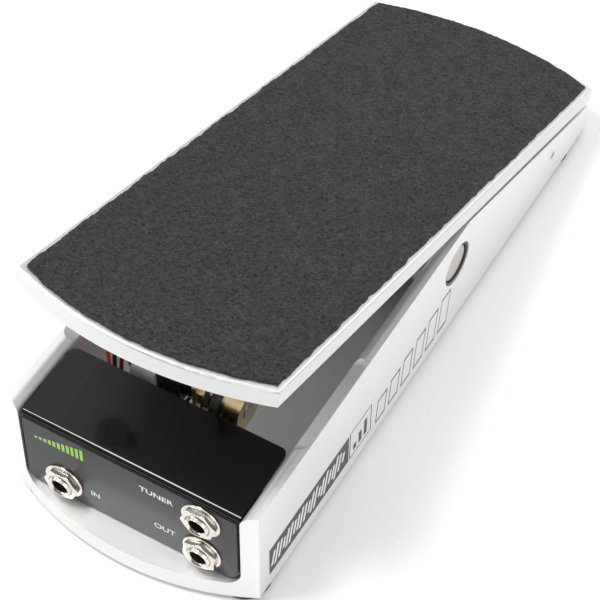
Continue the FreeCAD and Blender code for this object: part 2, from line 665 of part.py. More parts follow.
def make_jacks():
    """Three jack sockets: turned sleeve, nut, washer, moulded housing and solder tabs."""
    nuts, washers, housings, tabs = [], [], [], []
    back = "(cover_sheet - cover_face)"
    for label, x, z in JACKS:
        tip = "(%s - jack_stand_out)" % PANEL_FACE
        rear = "(%s + jack_flange)" % back
        sleeve = revolve(label, [
            ("jack_bore", tip), ("jack_thread", tip), ("jack_thread", back),
            ("jack_flange_radius", back), ("jack_flange_radius", rear), ("jack_bore", rear)],
            "XY_Plane", "V_Axis")
        in_base(sleeve, label, (x, "0", z))

        seat = "(%s - washer_thickness)" % PANEL_FACE
        hole = "jack_thread + press_gap"
        washers.append(cut(label + "_washer",
                           rod(label + "_washer_disc", "washer_radius", "washer_thickness",
                               (x, seat, z), "y"),
                           rod(label + "_washer_hole", hole, "washer_thickness",
                               (x, seat, z), "y")))
        face = "(%s - nut_thickness)" % seat
        nuts.append(cut(label + "_nut",
                        hexagon(label + "_nut_hex", "nut_across_flats", "nut_thickness",
                                (x, face, z), "y"),
                        rod(label + "_nut_hole", hole, "nut_thickness", (x, face, z), "y")))
        box = block(label + "_housing_box", ("housing_width", "housing_depth", "housing_height"),
                    (x + " - housing_width/2", rear, z + " - housing_height/2"))
        cavity = rod(label + "_housing_cavity", "housing_cavity",
                     "housing_depth - housing_back", (x, rear, z), "y")
        housings.append(cut(label + "_housing", box, cavity))
        for index in range(3):
            tabs.append(block("%s_tab_%d" % (label, index),
                              ("tab_width", "tab_length", "tab_thickness"),
                              ("%s - tab_width/2" % x, "%s + housing_depth" % rear,
                               "%s + %d*tab_spread" % (z, index - 1))))
    in_base(group("jack_washers_group", washers), "jack_washers")
    in_base(group("jack_nuts_group", nuts), "jack_nuts")
    in_base(group("jack_housings_group", housings), "jack_housings")
    in_base(group("jack_terminals_group", tabs), "jack_terminals")


# ---------------------------------------------------------------- potentiometer and cord drum

POT_AXIS = ("0", "pot_from_toe", "pot_height")
CORD_X = "(drum_start + drum_flange + cord_pitch/2)"
CORD_TURNS = 2
RUN_X = "(%s + %d*cord_pitch)" % (CORD_X, CORD_TURNS + 1)
TOE_POST = "(pivot_from_toe - pot_from_toe + toe_post_past_drum)"
HEEL_POST = "(%s - pivot_from_toe + heel_post_past_guide)" % GUIDE_Y


def make_potentiometer():
    """Bracket, potentiometer and the brass cord drum on its shaft."""
    bracket = new_body("pot_bracket")
    profile = new_sketch(bracket, "bracket_profile", "XZ_Plane", "-bracket_half_width")
    draw_outline(profile, [
        ("0", "floor_thickness"), ("bracket_foot", "floor_thickness"),
        ("bracket_foot", "floor_thickness + bracket_sheet"),
        ("bracket_sheet", "floor_thickness + bracket_sheet"),
        ("bracket_sheet", "bracket_top"), ("0", "bracket_top")])
    pad(bracket, "bracket_pad", profile, "2*bracket_half_width")
    bore(bracket, "bracket_pot_hole", "Cylinder", ("-1", "0", "pot_height"), (0, 1, 0), 90,
         Radius="pot_bushing + press_gap", Height="bracket_sheet + 2")
    for index, (x, y) in enumerate(BRACKET_SCREW_PLACES):
        bore(bracket, "bracket_screw_hole_%d" % index, "Cylinder",
             (x, y + " - pot_from_toe", "floor_thickness - 1"),
             Radius="foot_screw_radius + screw_gap", Height="bracket_sheet + 2")
    in_base(bracket, "pot_bracket", ("0", "pot_from_toe", "0"))

    screws = []
    for index, (x, y) in enumerate(BRACKET_SCREW_PLACES):
        top = "floor_thickness + bracket_sheet"
        head = rod("bracket_screw_head_%d" % index, "2*foot_screw_radius", "foot_screw_radius",
                   (x, y, top))
        shank = rod("bracket_screw_shank_%d" % index, "foot_screw_radius",
                    top + " + foot_screw_radius - 1", (x, y, "1"))
        screws.append(fuse("bracket_screw_%d" % index, [head, shank]))
    in_base(group("bracket_screws_group", screws), "bracket_screws")

    nut = cut("pot_nut_cut",
              hexagon("pot_nut_hex", "pot_nut_flats", "pot_nut", ("bracket_sheet", "0", "0"),
                      "x"),
              rod("pot_nut_hole", "pot_bushing + press_gap", "pot_nut",
                  ("bracket_sheet", "0", "0"), "x"))
    in_base(nut, "pot_nut", POT_AXIS)

    hole = "(shaft_radius + running_clearance)"
    bushing = rod("pot_bushing_rod", "pot_bushing", "pot_bushing_end", ("0", "0", "0"), "x")
    neck = rod("pot_neck_rod", "pot_neck_radius", "pot_neck", ("-pot_neck", "0", "0"), "x")
    housing = block("pot_block_box", ("pot_block", "2*pot_block_half", "2*pot_block_half"),
                    ("-pot_neck - pot_block", "-pot_block_half", "-pot_block_half"))
    shaft_hole = rod("pot_shaft_hole", hole, "pot_bushing_end - shaft_start + 1",
                     ("shaft_start - 0.5", "0", "0"), "x")
    in_base(cut("pot_body_cut", fuse("pot_body_fuse", [bushing, neck, housing]), shaft_hole),
            "pot_body", POT_AXIS)
    can = rod("pot_can_rod", "pot_can_radius", "pot_can",
              ("-pot_neck - pot_block - pot_can", "0", "0"), "x")
    in_base(group("pot_can_group", [can]), "pot_can", POT_AXIS)
    tabs = [block("pot_tab_%d" % index, ("tab_width/2", "tab_thickness", "tab_length"),
                  ("-pot_neck - pot_block/2 + %d*tab_width*1.2" % (index - 1),
                   "pot_block_half - tab_thickness", "-pot_block_half - tab_length"))
            for index in range(3)]
    in_base(group("pot_terminals_group", tabs), "pot_terminals", POT_AXIS)

    shaft = rod("pot_shaft_rod", "shaft_radius", "shaft_end - shaft_start",
                ("shaft_start", "0", "0"), "x")
    in_base(group("pot_shaft_group", [shaft]), "pot_shaft", POT_AXIS)

    core_start = "(drum_start + drum_flange)"
    bore_radius = "shaft_radius + press_gap"
    ridges = int(number("(drum_core_end - %s)/cord_pitch" % core_start))
    outline = [("drum_start", bore_radius), ("drum_end", bore_radius),
               ("drum_end", "drum_flange_radius"), ("drum_core_end", "drum_flange_radius"),
               ("drum_core_end", "cord_core")]
    for ridge in range(ridges - 1, 0, -1):
        at = "(%s + %d*cord_pitch)" % (core_start, ridge)
        outline += [("%s + cord_pitch/8" % at, "cord_core"),
                    (at, "cord_core + groove_depth"),
                    ("%s - cord_pitch/8" % at, "cord_core")]
    outline += [(core_start, "cord_core"), (core_start, "drum_flange_radius"),
                ("drum_start", "drum_flange_radius")]
    drum = revolve("cord_drum", outline)
    bore(drum, "drum_screw_hole", "Cylinder", ("drum_screw_x", "0", "0"), (1, 0, 0), 90,
         Radius="drum_screw_radius + press_gap", Height="drum_flange_radius + 1")
    in_base(drum, "cord_drum", POT_AXIS)
    grub = rod("drum_grub", "drum_screw_radius",
               "drum_flange_radius - drum_screw_recess - shaft_radius - screw_gap",
               ("drum_screw_x", "drum_screw_recess - drum_flange_radius", "0"), "y")
    socket = hexagon("drum_grub_socket", "set_screw_socket*1.6", "socket_depth",
                     ("drum_screw_x", "drum_screw_recess - drum_flange_radius", "0"), "y")
    in_base(cut("drum_set_screw_cut", grub, socket), "drum_set_screw", POT_AXIS)


# ---------------------------------------------------------------- drive cord, spring and guide

class Spot:
    """A point in the plane of the cord: y from the toe corner, z from the base's underside."""

    def __init__(self, y, z):
        self.y, self.z = y, z


def swung(y, z):
    """Return where a pivot-frame point rests, in the base frame."""
    angle = math.radians(number("rest_angle"))
    return Spot(number("pivot_from_toe") + y * math.cos(angle) + z * math.sin(angle),
                number("pivot_height") - y * math.sin(angle) + z * math.cos(angle))


def tangent_spot(outside, centre, radius, side):
    """Return where the line from a point touches a circle, on its + or - turning side."""
    dy, dz = outside.y - centre.y, outside.z - centre.z
    lean = math.acos(radius / math.hypot(dy, dz)) * side
    angle = math.atan2(dz, dy) + lean
    return Spot(centre.y + radius * math.cos(angle), centre.z + radius * math.sin(angle))


def tube(name, points, radius, bend=None):
    """Sweep a round section along straight runs joined by tangent arcs."""
    edges, start = [], points[0]
    for index in range(1, len(points) - 1):
        before, corner, after = points[index - 1:index + 2]
        inward, outward = (before - corner).normalize(), (after - corner).normalize()
        turn = math.pi - inward.getAngle(outward)
        shorter = min((before - corner).Length, (after - corner).Length)
        setback = 0.45 * shorter if bend is None else bend * math.tan(turn / 2)
        arc_radius = setback / math.tan(turn / 2)
        print("%s bend %.1f mm" % (name, arc_radius))
        first, last = corner + inward * setback, corner + outward * setback
        inside = (inward + outward).normalize()
        middle = corner + inside * (arc_radius / math.cos(turn / 2) - arc_radius)
        edges += [Part.LineSegment(start, first).toShape(),
                  Part.Arc(first, middle, last).toShape()]
        start = last
    edges.append(Part.LineSegment(start, points[-1]).toShape())
    path = Part.Wire(edges)
    section = Part.Wire(Part.Circle(points[0], edges[0].tangentAt(edges[0].FirstParameter),
                                    radius).toShape())
    solid = path.makePipeShell([section], True, False)
    expected = math.pi * radius ** 2 * path.Length
    if abs(solid.Volume - expected) > 0.01 * expected:
        raise RuntimeError("%s tube volume %.1f, expected %.1f" % (name, solid.Volume, expected))
    return solid


def free_shape(label, shape):
    """Hold a hand-made shape, drawn in the base frame, as one of the pieces."""
    item = doc.addObject("Part::Feature", label + "_feature")
    item.Shape = shape
    return in_base(item, label)


def make_cord_drive():
    """Cord from the toe post round the drum, through the spring and guide to the heel post."""
    reach = number("cord_core + cord_radius")
    thick = number("cord_radius")
    gap = number("cord_gap")
    toe_x, run_x = number(CORD_X), number(RUN_X)
    drum = Spot(number("pot_from_toe"), number("pot_height"))
    guide = Spot(number(GUIDE_Y), number("guide_height"))
    guide_reach = number("guide_groove + cord_radius") + gap
    post_end = number("pivot_to_tread - post_length") - gap
    toe_post = swung(-number(TOE_POST), post_end)
    heel_post = swung(number(HEEL_POST), post_end)

    front = tangent_spot(toe_post, drum, reach + gap, 1)
    free_shape("cord_toe_run", tube("cord_toe_run", [
        Vector(toe_x, toe_post.y, toe_post.z), Vector(toe_x, front.y, front.z)], thick))

    rings = []
    for turn in range(CORD_TURNS):
        ring = bind(doc.addObject("Part::Torus", "cord_ring_%d" % turn),
                    Radius1="cord_core + cord_radius + press_gap", Radius2="cord_radius")
        rings.append(place(ring, ("%s + %d*cord_pitch" % (CORD_X, turn + 1), "0", "0"), "x"))
    in_base(group("cord_wraps_group", rings), "cord_wraps", POT_AXIS)

    # the long run leaves the drum's underside and passes under the guide roller
    span = math.hypot(guide.y - drum.y, guide.z - drum.z)
    line = math.atan2(guide.z - drum.z, guide.y - drum.y)
    lean = math.asin((guide_reach - reach - gap) / span)
    down = line - math.pi / 2 - lean
    leave = Spot(drum.y + (reach + gap) * math.cos(down), drum.z + (reach + gap) * math.sin(down))
    arrive = Spot(guide.y + guide_reach * math.cos(down),
                  guide.z + guide_reach * math.sin(down))
    length = math.hypot(arrive.y - leave.y, arrive.z - leave.z)

    def along(distance):
        part = distance / length
        return Vector(run_x, leave.y + (arrive.y - leave.y) * part,
                      leave.z + (arrive.z - leave.z) * part)

    direction = (along(1) - along(0)).normalize()
    spring_start = (guide.y - number("spring_before_guide") - leave.y) / direction.y
    spring_length = number("spring_length")
    ferrule = number("ferrule_length")
    free_shape("cord_front_run", tube("cord_front_run", [
        along(0), along(spring_start - ferrule - gap)], thick))
    rear = tangent_spot(heel_post, guide, guide_reach, -1)
    first_angle = math.atan2(arrive.z - guide.z, arrive.y - guide.y)
    turn = (math.atan2(rear.z - guide.z, rear.y - guide.y) - first_angle) % (2 * math.pi)
    corner_reach = guide_reach / math.cos(turn / 2)
    corner = Vector(run_x, guide.y + corner_reach * math.cos(first_angle + turn / 2),
                    guide.z + corner_reach * math.sin(first_angle + turn / 2))
    free_shape("cord_rear_run", tube("cord_rear_run", [
        along(spring_start + spring_length + ferrule + gap), corner,
        Vector(run_x, heel_post.y, heel_post.z)], thick, guide_reach))

    coil = Part.makeCylinder(number("spring_radius"), spring_length, along(spring_start),
                             direction)
    hollow = Part.makeCylinder(number("spring_radius - spring_wire"), spring_length,
                               along(spring_start), direction)
    free_shape("tension_spring", coil.cut(hollow))
    ends = [Part.makeCylinder(number("ferrule_radius"), ferrule, along(start), direction)
            for start in (spring_start - ferrule, spring_start + spring_length)]
    free_shape("cord_ferrules", Part.makeCompound(ends))

    for label, x, y in (("toe_cord_post", CORD_X, "-" + TOE_POST),
                        ("heel_cord_post", RUN_X, HEEL_POST)):
        post = rod(label + "_rod", "post_radius", "post_length",
                   (x, y, "pivot_to_tread - post_length"))
        waist = rod(label + "_collar", "1.5*post_radius", "post_collar",
                    (x, y, "pivot_to_tread - post_collar"))
        in_pivot(fuse(label + "_fuse", [post, waist]), label)

    # heel guide: pin across both walls, grooved roller and two collars
    pin_half = "(base_width/2 - bushing_recess)"
    pin = rod("guide_pin_rod", "guide_pin_radius", "2*" + pin_half, ("-" + pin_half, "0", "0"),
              "x")
    guide_at = ("0", GUIDE_Y, "guide_height")
    in_base(group("guide_pin_group", [pin]), "guide_pin", guide_at)
    hub = "guide_pin_radius + running_clearance"
    half = "guide_width/2"
    lip = "(guide_width/2 - guide_rim_width)"
    roller = revolve("guide_roller", [
        ("-" + half, hub), (half, hub), (half, "guide_rim"), (lip, "guide_rim"),
        ("cord_radius*1.2", "guide_groove"), ("-cord_radius*1.2", "guide_groove"),
        ("-" + lip, "guide_rim"), ("-" + half, "guide_rim")])
    in_base(roller, "guide_roller", (RUN_X,) + guide_at[1:])
    collars = []
    for side, start in (("left", "-%s - side_play - collar_width" % half),
                        ("right", "%s + side_play" % half)):
        collars.append(cut("collar_" + side,
                           rod("collar_disc_" + side, "collar_radius", "collar_width",
                               (start, "0", "0"), "x"),
                           rod("collar_hole_" + side, "guide_pin_radius + press_gap",
                               "collar_width", (start, "0", "0"), "x")))
    in_base(group("pin_collars_group", collars), "pin_collars", (RUN_X,) + guide_at[1:])


# ---------------------------------------------------------------- rubber stops and wires

def make_stops():
    """Rubber stops: two on the floor at the heel, two under the treadle at the toe."""
    at = "(base_length - heel_stop_from_heel)"
    under_tread = ("(pivot_height + pivot_to_tread/cos(rest_angle)"
                   " - (%s + stop_radius - pivot_from_toe)*tan(rest_angle))" % at)
    low = [rod("heel_stop_" + name, "stop_radius",
               under_tread + " - heel_stop_gap - floor_thickness",
               (side + "stop_x", at, "floor_thickness"))
           for name, side in (("left", "-"), ("right", ""))]
    in_base(group("heel_stops_group", low), "heel_stops")
    high = [rod("toe_stop_" + name, "stop_radius", "toe_stop_height",
                (side + "stop_x", "toe_stop_from_toe - pivot_from_toe",
                 "pivot_to_tread - toe_stop_height"))
            for name, side in (("left", "-"), ("right", ""))]
    in_pivot(group("toe_stops_group", high), "toe_stops")


WIRES = {
    # from the potentiometer's tabs to the input jack's tabs, beside one another
    "wire_orange": [(-12.9, 51.0, 24.0), (-17.0, 54.5, 14.5), (-33.0, 53.5, 15.5), (-41.0, 51.5, 28.0),
                    (-40.5, 51.0, 43.0), (-37.9, 41.5, 43.0), (-37.2, 41.0, 26.5),
                    (-28.6, 30.3, 22.1)],
    "wire_brown": [(-10.0, 51.0, 24.0), (-14.0, 51.4, 12.6), (-29.5, 49.8, 13.2), (-36.5, 50.5, 25.0),
                   (-36.6, 50.0, 41.3), (-34.6, 41.2, 41.3), (-34.2, 40.2, 23.0),
                   (-28.0, 30.3, 18.0)],
    "wire_red": [(-7.1, 51.0, 24.0), (-10.0, 49.0, 11.2), (-24.5, 46.5, 11.2), (-31.6, 50.0, 19.0),
                 (-32.8, 49.5, 39.6), (-31.6, 41.0, 39.6), (-31.2, 39.4, 18.5),
                 (-28.4, 30.3, 14.1)],
}


def make_wires():
    """Three insulated wires, each one tube along its own route in the base frame."""
    for label, route in WIRES.items():
        points = [Vector(*point) for point in route]
        free_shape(label, tube(label, points, number("wire_radius")))


# ---------------------------------------------------------------- build, check and write

make_base()
make_feet()
make_treadle()
make_grip()
make_pivot()
make_cover()
make_jacks()
make_potentiometer()
make_cord_drive()
make_stops()
make_wires()
doc.recompute()

for item in doc.Objects:
    if "Invalid" in item.State or "Error" in item.State:
        raise RuntimeError("%s failed: %s" % (item.Name, item.State))
for item in NODES:
    if item.Shape.isNull() or not item.Shape.isValid() or not item.Shape.Solids:
        raise RuntimeError(item.Label + " has no valid solid")

os.makedirs("parts", exist_ok=True)
for item in NODES:
    item.Shape.exportStep(os.path.join("parts", item.Label + ".step"))
print("%d pieces" % len(NODES))
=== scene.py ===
"""Volume pedal: finishes, grip sheet, sockets, prints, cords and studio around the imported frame.

Every piece is computed in metres in the frame's own axes: +X across the pedal, the toe end at
-Y, +Z up.  Sizes below are millimetres and are turned into metres by MM.
"""
import json
import math

import bpy
import numpy as np
from mathutils import Matrix, Vector


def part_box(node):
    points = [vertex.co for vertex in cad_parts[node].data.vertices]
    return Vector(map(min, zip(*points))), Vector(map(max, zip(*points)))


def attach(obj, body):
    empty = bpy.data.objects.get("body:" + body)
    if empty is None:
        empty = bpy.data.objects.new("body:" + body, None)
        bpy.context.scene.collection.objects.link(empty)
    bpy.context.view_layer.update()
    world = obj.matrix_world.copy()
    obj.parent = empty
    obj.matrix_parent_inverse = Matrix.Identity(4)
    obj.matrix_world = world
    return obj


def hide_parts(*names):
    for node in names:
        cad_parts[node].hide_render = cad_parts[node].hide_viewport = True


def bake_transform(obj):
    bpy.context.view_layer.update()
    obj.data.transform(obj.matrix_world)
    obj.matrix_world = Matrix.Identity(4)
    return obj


bl_info = {
    "name": "Volume Pedal",
    "version": (1, 0, 0),
    "blender": (4, 5, 0),
    "location": "View3D > Sidebar > Pedal",
    "description": "Builds the surfaces, finishes, prints and cords of a foot volume pedal",
    "category": "Object",
}

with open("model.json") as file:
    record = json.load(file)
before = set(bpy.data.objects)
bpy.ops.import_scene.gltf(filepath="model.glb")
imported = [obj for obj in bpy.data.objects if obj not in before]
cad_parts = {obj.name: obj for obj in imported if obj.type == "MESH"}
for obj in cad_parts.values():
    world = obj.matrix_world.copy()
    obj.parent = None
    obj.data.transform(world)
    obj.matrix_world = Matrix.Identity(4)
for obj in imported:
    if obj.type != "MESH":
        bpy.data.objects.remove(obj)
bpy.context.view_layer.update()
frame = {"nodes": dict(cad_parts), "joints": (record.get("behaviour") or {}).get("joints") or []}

MM = 0.001
TURN = 2 * math.pi


def node_box(node):
    """Lowest and highest corner of a frame node, as arrays in metres."""
    low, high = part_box(node)
    return np.array(low), np.array(high)


def joint_place(name):
    """Where a joint's axis passes, in metres."""
    return np.array([joint["pos_m"] for joint in frame["joints"] if joint["name"] == name][0])


PIVOT = joint_place("treadle_pivot")
DRUM = joint_place("drum_turn")
GUIDE = joint_place("roller_turn")
TILT = math.radians(18.51)
# the toe corner of the base's underside, from which the fixed pieces are measured
TOE = np.array([0.0, PIVOT[1] - 144.0 * MM, node_box("base_channel")[0][2]])
CORD = 0.9 * MM
WALL_X = node_box("base_channel")[1][0]
PANEL_Y = node_box("front_panel")[0][1]
# heights of the panel's bottom and top, over which the panel film's painted reflection runs
PANEL_REFLECTION_HEIGHTS = (node_box("front_panel")[0][2], node_box("front_panel")[1][2])


def swung(points):
    """Turn pivot-frame points (treadle level, millimetres) to the resting tilt, in metres.

    Rotation about the axle by the rest angle, then a shift to the axle's place.
    """
    x, y, z = np.asarray(points, float).T * MM
    turned = np.stack([x, y * math.cos(TILT) + z * math.sin(TILT),
                       z * math.cos(TILT) - y * math.sin(TILT)], axis=-1)
    return turned + PIVOT


def seated(points):
    """Turn base-frame points (millimetres from the toe corner) to metres in the frame."""
    return np.asarray(points, float) * MM + TOE


# ---------------------------------------------------------------- user properties

class PedalSizes(bpy.types.PropertyGroup):
    """Sizes of the pedal's finer surfaces that a user may change."""
    grain_size: bpy.props.FloatProperty(
        name="Grain size", description="Spacing of the grip sheet's grains", default=0.8 * MM,
        min=0.5 * MM, max=2.0 * MM, unit="LENGTH")
    grain_height: bpy.props.FloatProperty(
        name="Grain height", description="How far the grains stand up", default=0.2 * MM,
        min=0.0, max=0.6 * MM, unit="LENGTH")
    ragged_edge: bpy.props.FloatProperty(
        name="Ragged edge", description="How far the grip sheet's cut edge wanders",
        default=0.5 * MM, min=0.0, max=1.0 * MM, unit="LENGTH")
    thread_pitch: bpy.props.FloatProperty(
        name="Thread pitch", description="Pitch of the socket sleeves' thread",
        default=0.8 * MM, min=0.4 * MM, max=1.2 * MM, unit="LENGTH")
    spring_turns: bpy.props.IntProperty(
        name="Spring turns", description="Turns of the tension spring", default=30, min=8,
        max=40)
    ink_thickness: bpy.props.FloatProperty(
        name="Ink thickness", description="Thickness of the printed marks", default=0.03 * MM,
        min=0.01 * MM, max=0.2 * MM, unit="LENGTH")


class PedalColours(bpy.types.PropertyGroup):
    """Colours that a user may change."""
    metal: bpy.props.FloatVectorProperty(
        name="Metal", description="Base and treadle", subtype="COLOR", size=3,
        default=(0.755, 0.755, 0.75), min=0.0, max=1.0)
    grit: bpy.props.FloatVectorProperty(
        name="Grit", description="Body colour of the grip sheet", subtype="COLOR", size=3,
        default=(0.0172, 0.0177, 0.0188), min=0.0, max=1.0)
    cover: bpy.props.FloatVectorProperty(
        name="Cover", description="Enamel of the electronics cover", subtype="COLOR", size=3,
        default=(0.0035, 0.0035, 0.003), min=0.0, max=1.0)
    mark: bpy.props.FloatVectorProperty(
        name="Mark", description="Coloured print on the panel", subtype="COLOR", size=3,
        default=(0.28, 0.60, 0.06), min=0.0, max=1.0)


# ---------------------------------------------------------------- surfaces

def grid_faces(rows, columns, close_rows=False, close_columns=False):
    """Quads of a grid of points, optionally joined end to start along either way."""
    last_row = rows if close_rows else rows - 1
    last_column = columns if close_columns else columns - 1
    r, c = np.meshgrid(np.arange(last_row), np.arange(last_column), indexing="ij")
    r2, c2 = (r + 1) % rows, (c + 1) % columns
    quads = np.stack([r * columns + c, r2 * columns + c, r2 * columns + c2, r * columns + c2],
                     axis=-1)
    return quads.reshape(-1, 4)


def make_piece(name, points, faces, smooth=True, uv=None):
    """Put computed points and faces into a mesh object; uv gives one pair for each point."""
    mesh = bpy.data.meshes.new(name)
    mesh.from_pydata(np.asarray(points).reshape(-1, 3).tolist(), [],
                     [list(face) for face in faces])
    mesh.validate()
    mesh.polygons.foreach_set("use_smooth", np.full(len(mesh.polygons), smooth))
    if uv is not None:
        layer = mesh.uv_layers.new(name="UVMap")
        corner = np.empty(len(mesh.loops), dtype=np.int32)
        mesh.loops.foreach_get("vertex_index", corner)
        layer.data.foreach_set("uv", np.asarray(uv, np.float32)[corner].ravel())
    piece = bpy.data.objects.new(name, mesh)
    bpy.context.scene.collection.objects.link(piece)
    return piece


def outward(piece):
    """Merge doubles and make every face point outwards."""
    import bmesh
    work = bmesh.new()
    work.from_mesh(piece.data)
    bmesh.ops.remove_doubles(work, verts=work.verts, dist=1e-7)
    bmesh.ops.recalc_face_normals(work, faces=work.faces)
    work.to_mesh(piece.data)
    work.free()
    return piece


def sharpen(piece, angle=35):
    """Shade faces smoothly except across edges sharper than an angle."""
    with bpy.context.temp_override(object=piece, active_object=piece,
                                   selected_objects=[piece],
                                   selected_editable_objects=[piece]):
        bpy.ops.object.shade_smooth_by_angle(angle=math.radians(angle))
    return piece


def joined(name, parts):
    """Stack several (points, faces) pairs into one point array and one face list."""
    points, faces, start = [], [], 0
    for part_points, part_faces in parts:
        part_points = np.asarray(part_points).reshape(-1, 3)
        points.append(part_points)
        faces += [[index + start for index in face] for face in part_faces]
        start += len(part_points)
    return make_piece(name, np.concatenate(points), faces)


def turned(profile, centre, axis, segments=72):
    """Turn a closed profile of (radius, distance along the axis) about an axis.

    Each point is the centre, plus the distance along the axis, plus the radius times the
    cosine and sine of the turn across it.
    """
    radius, along = np.asarray(profile, float).T
    angle = np.linspace(0, TURN, segments, endpoint=False)[:, None]
    first, second = {"x": ((0, 1, 0), (0, 0, 1)), "y": ((0, 0, 1), (1, 0, 0)),
                     "z": ((1, 0, 0), (0, 1, 0))}[axis]
    forward = np.cross(first, second)
    points = (np.asarray(centre, float) + along[None, :, None] * forward
              + radius[None, :, None] * (np.cos(angle)[..., None] * np.array(first)
                                         + np.sin(angle)[..., None] * np.array(second)))
    return points, grid_faces(segments, len(radius), True, True).tolist()


def carried(path, radius, sides=12, closed_ends=True):
    """Carry a circle along a path of points.

    A point is the path's point plus the radius times cosine and sine of the turn along two
    directions square to the path, found from the path's tangent and a fixed side direction.
    """
    path = np.asarray(path, float)
    tangent = np.gradient(path, axis=0)
    tangent /= np.linalg.norm(tangent, axis=1, keepdims=True)
    spread = np.abs(tangent).max(axis=0)
    side = np.eye(3)[int(np.argmin(spread))]
    first = np.cross(tangent, side)
    first /= np.linalg.norm(first, axis=1, keepdims=True)
    second = np.cross(tangent, first)
    angle = np.linspace(0, TURN, sides, endpoint=False)
    ring = (np.cos(angle)[None, :, None] * first[:, None, :]
            + np.sin(angle)[None, :, None] * second[:, None, :])
    points = path[:, None, :] + np.asarray(radius) * ring
    faces = grid_faces(len(path), sides, False, True).tolist()
    if closed_ends:
        faces += [list(range(sides)), list(range((len(path) - 1) * sides, len(path) * sides))]
    length = np.concatenate([[0], np.cumsum(np.linalg.norm(np.diff(path, axis=0), axis=1))])
    uv = np.stack([np.repeat(length, sides),
                   np.tile(angle / TURN, len(path)) * TURN * np.max(radius)], axis=-1)
    return points.reshape(-1, 3), faces, uv


def prisms(quads, low, high):
    """Raise flat four-sided outlines in (u, v) into closed prisms between two heights."""
    quads = np.asarray(quads, float)
    count = len(quads)
    heights = np.array([low, high])
    flat = np.repeat(quads[:, None], 2, axis=1)
    lift = np.broadcast_to(heights[None, :, None, None], (count, 2, 4, 1))
    points = np.concatenate([flat, lift], axis=-1).reshape(-1, 3)
    side = [[0, 1, 5, 4], [1, 2, 6, 5], [2, 3, 7, 6], [3, 0, 4, 7]]
    pattern = np.array([[3, 2, 1, 0], [4, 5, 6, 7]] + side)
    faces = (pattern[None] + 8 * np.arange(count)[:, None, None]).reshape(-1, 4)
    return points, faces.tolist()


# ---------------------------------------------------------------- shader recipes

class Recipe:
    """A material's node tree, built step by step around its Principled shader."""

    def __init__(self, name):
        self.material = bpy.data.materials.new(name)
        self.material.use_nodes = True
        self.tree = self.material.node_tree
        self.shader = self.tree.nodes["Principled BSDF"]

    def feed(self, socket, value):
        if isinstance(value, bpy.types.NodeSocket):
            self.tree.links.new(value, socket)
        else:
            socket.default_value = value

    def add(self, kind, settings=None, **inputs):
        node = self.tree.nodes.new("ShaderNode" + kind)
        for key, value in (settings or {}).items():
            setattr(node, key, value)
        for key, value in inputs.items():
            self.feed(node.inputs[key.replace("_", " ")], value)
        return node

    def place(self, scale=(1, 1, 1), rotation=(0, 0, 0), location=(0, 0, 0), uv=False):
        source = self.add("TexCoord").outputs["UV" if uv else "Object"]
        return self.add("Mapping", None, Vector=source, Scale=scale, Rotation=rotation,
                        Location=location).outputs["Vector"]

    def noise(self, vector, scale, detail=3.0, roughness=0.55):
        return self.add("TexNoise", None, Vector=vector, Scale=scale, Detail=detail,
                        Roughness=roughness).outputs["Fac"]

    def cells(self, vector, scale, feature="F1"):
        return self.add("TexVoronoi", {"feature": feature}, Vector=vector, Scale=scale)

    def maths(self, operation, first, second=0.0, clamp=False):
        node = self.tree.nodes.new("ShaderNodeMath")
        node.operation = operation
        node.use_clamp = clamp
        self.feed(node.inputs[0], first)
        self.feed(node.inputs[1], second)
        return node.outputs[0]

    def ramp(self, factor, stops, constant=False):
        node = self.add("ValToRGB", None, Fac=factor)
        elements = node.color_ramp.elements
        if constant:
            node.color_ramp.interpolation = "CONSTANT"
        while len(elements) < len(stops):
            elements.new(0.5)
        for element, (position, value) in zip(elements, stops):
            element.position = position
            element.color = (value, value, value, 1) if np.isscalar(value) else (*value, 1)
        return node.outputs["Color"]

    def mix(self, factor, first, second, blend="MIX"):
        node = self.tree.nodes.new("ShaderNodeMix")
        node.data_type = "RGBA"
        node.blend_type = blend
        self.feed(node.inputs[0], factor)
        for socket, value in ((node.inputs[6], first), (node.inputs[7], second)):
            plain = isinstance(value, bpy.types.NodeSocket)
            self.feed(socket, value if plain else (*value, 1))
        return node.outputs[2]

    def span(self, factor, low, high):
        """Map a 0 to 1 factor on to a range."""
        return self.add("MapRange", None, Value=factor, To_Min=low, To_Max=high).outputs[0]

    def bump(self, height, depth, strength=1.0, normal=None):
        node = self.add("Bump", None, Height=height, Distance=depth, Strength=strength)
        if normal is not None:
            self.feed(node.inputs["Normal"], normal)
        return node.outputs["Normal"]

    def finish(self, **values):
        """Set the shader's own sockets by name and return the material."""
        for key, value in values.items():
            socket = self.shader.inputs[key.replace("_", " ")]
            colour = socket.type == "RGBA" and not isinstance(value, bpy.types.NodeSocket)
            self.feed(socket, (*value, 1) if colour else value)
        return self.material


def shade(colour, factor):
    """A colour made lighter or darker."""
    return tuple(min(1.0, channel * factor) for channel in colour)


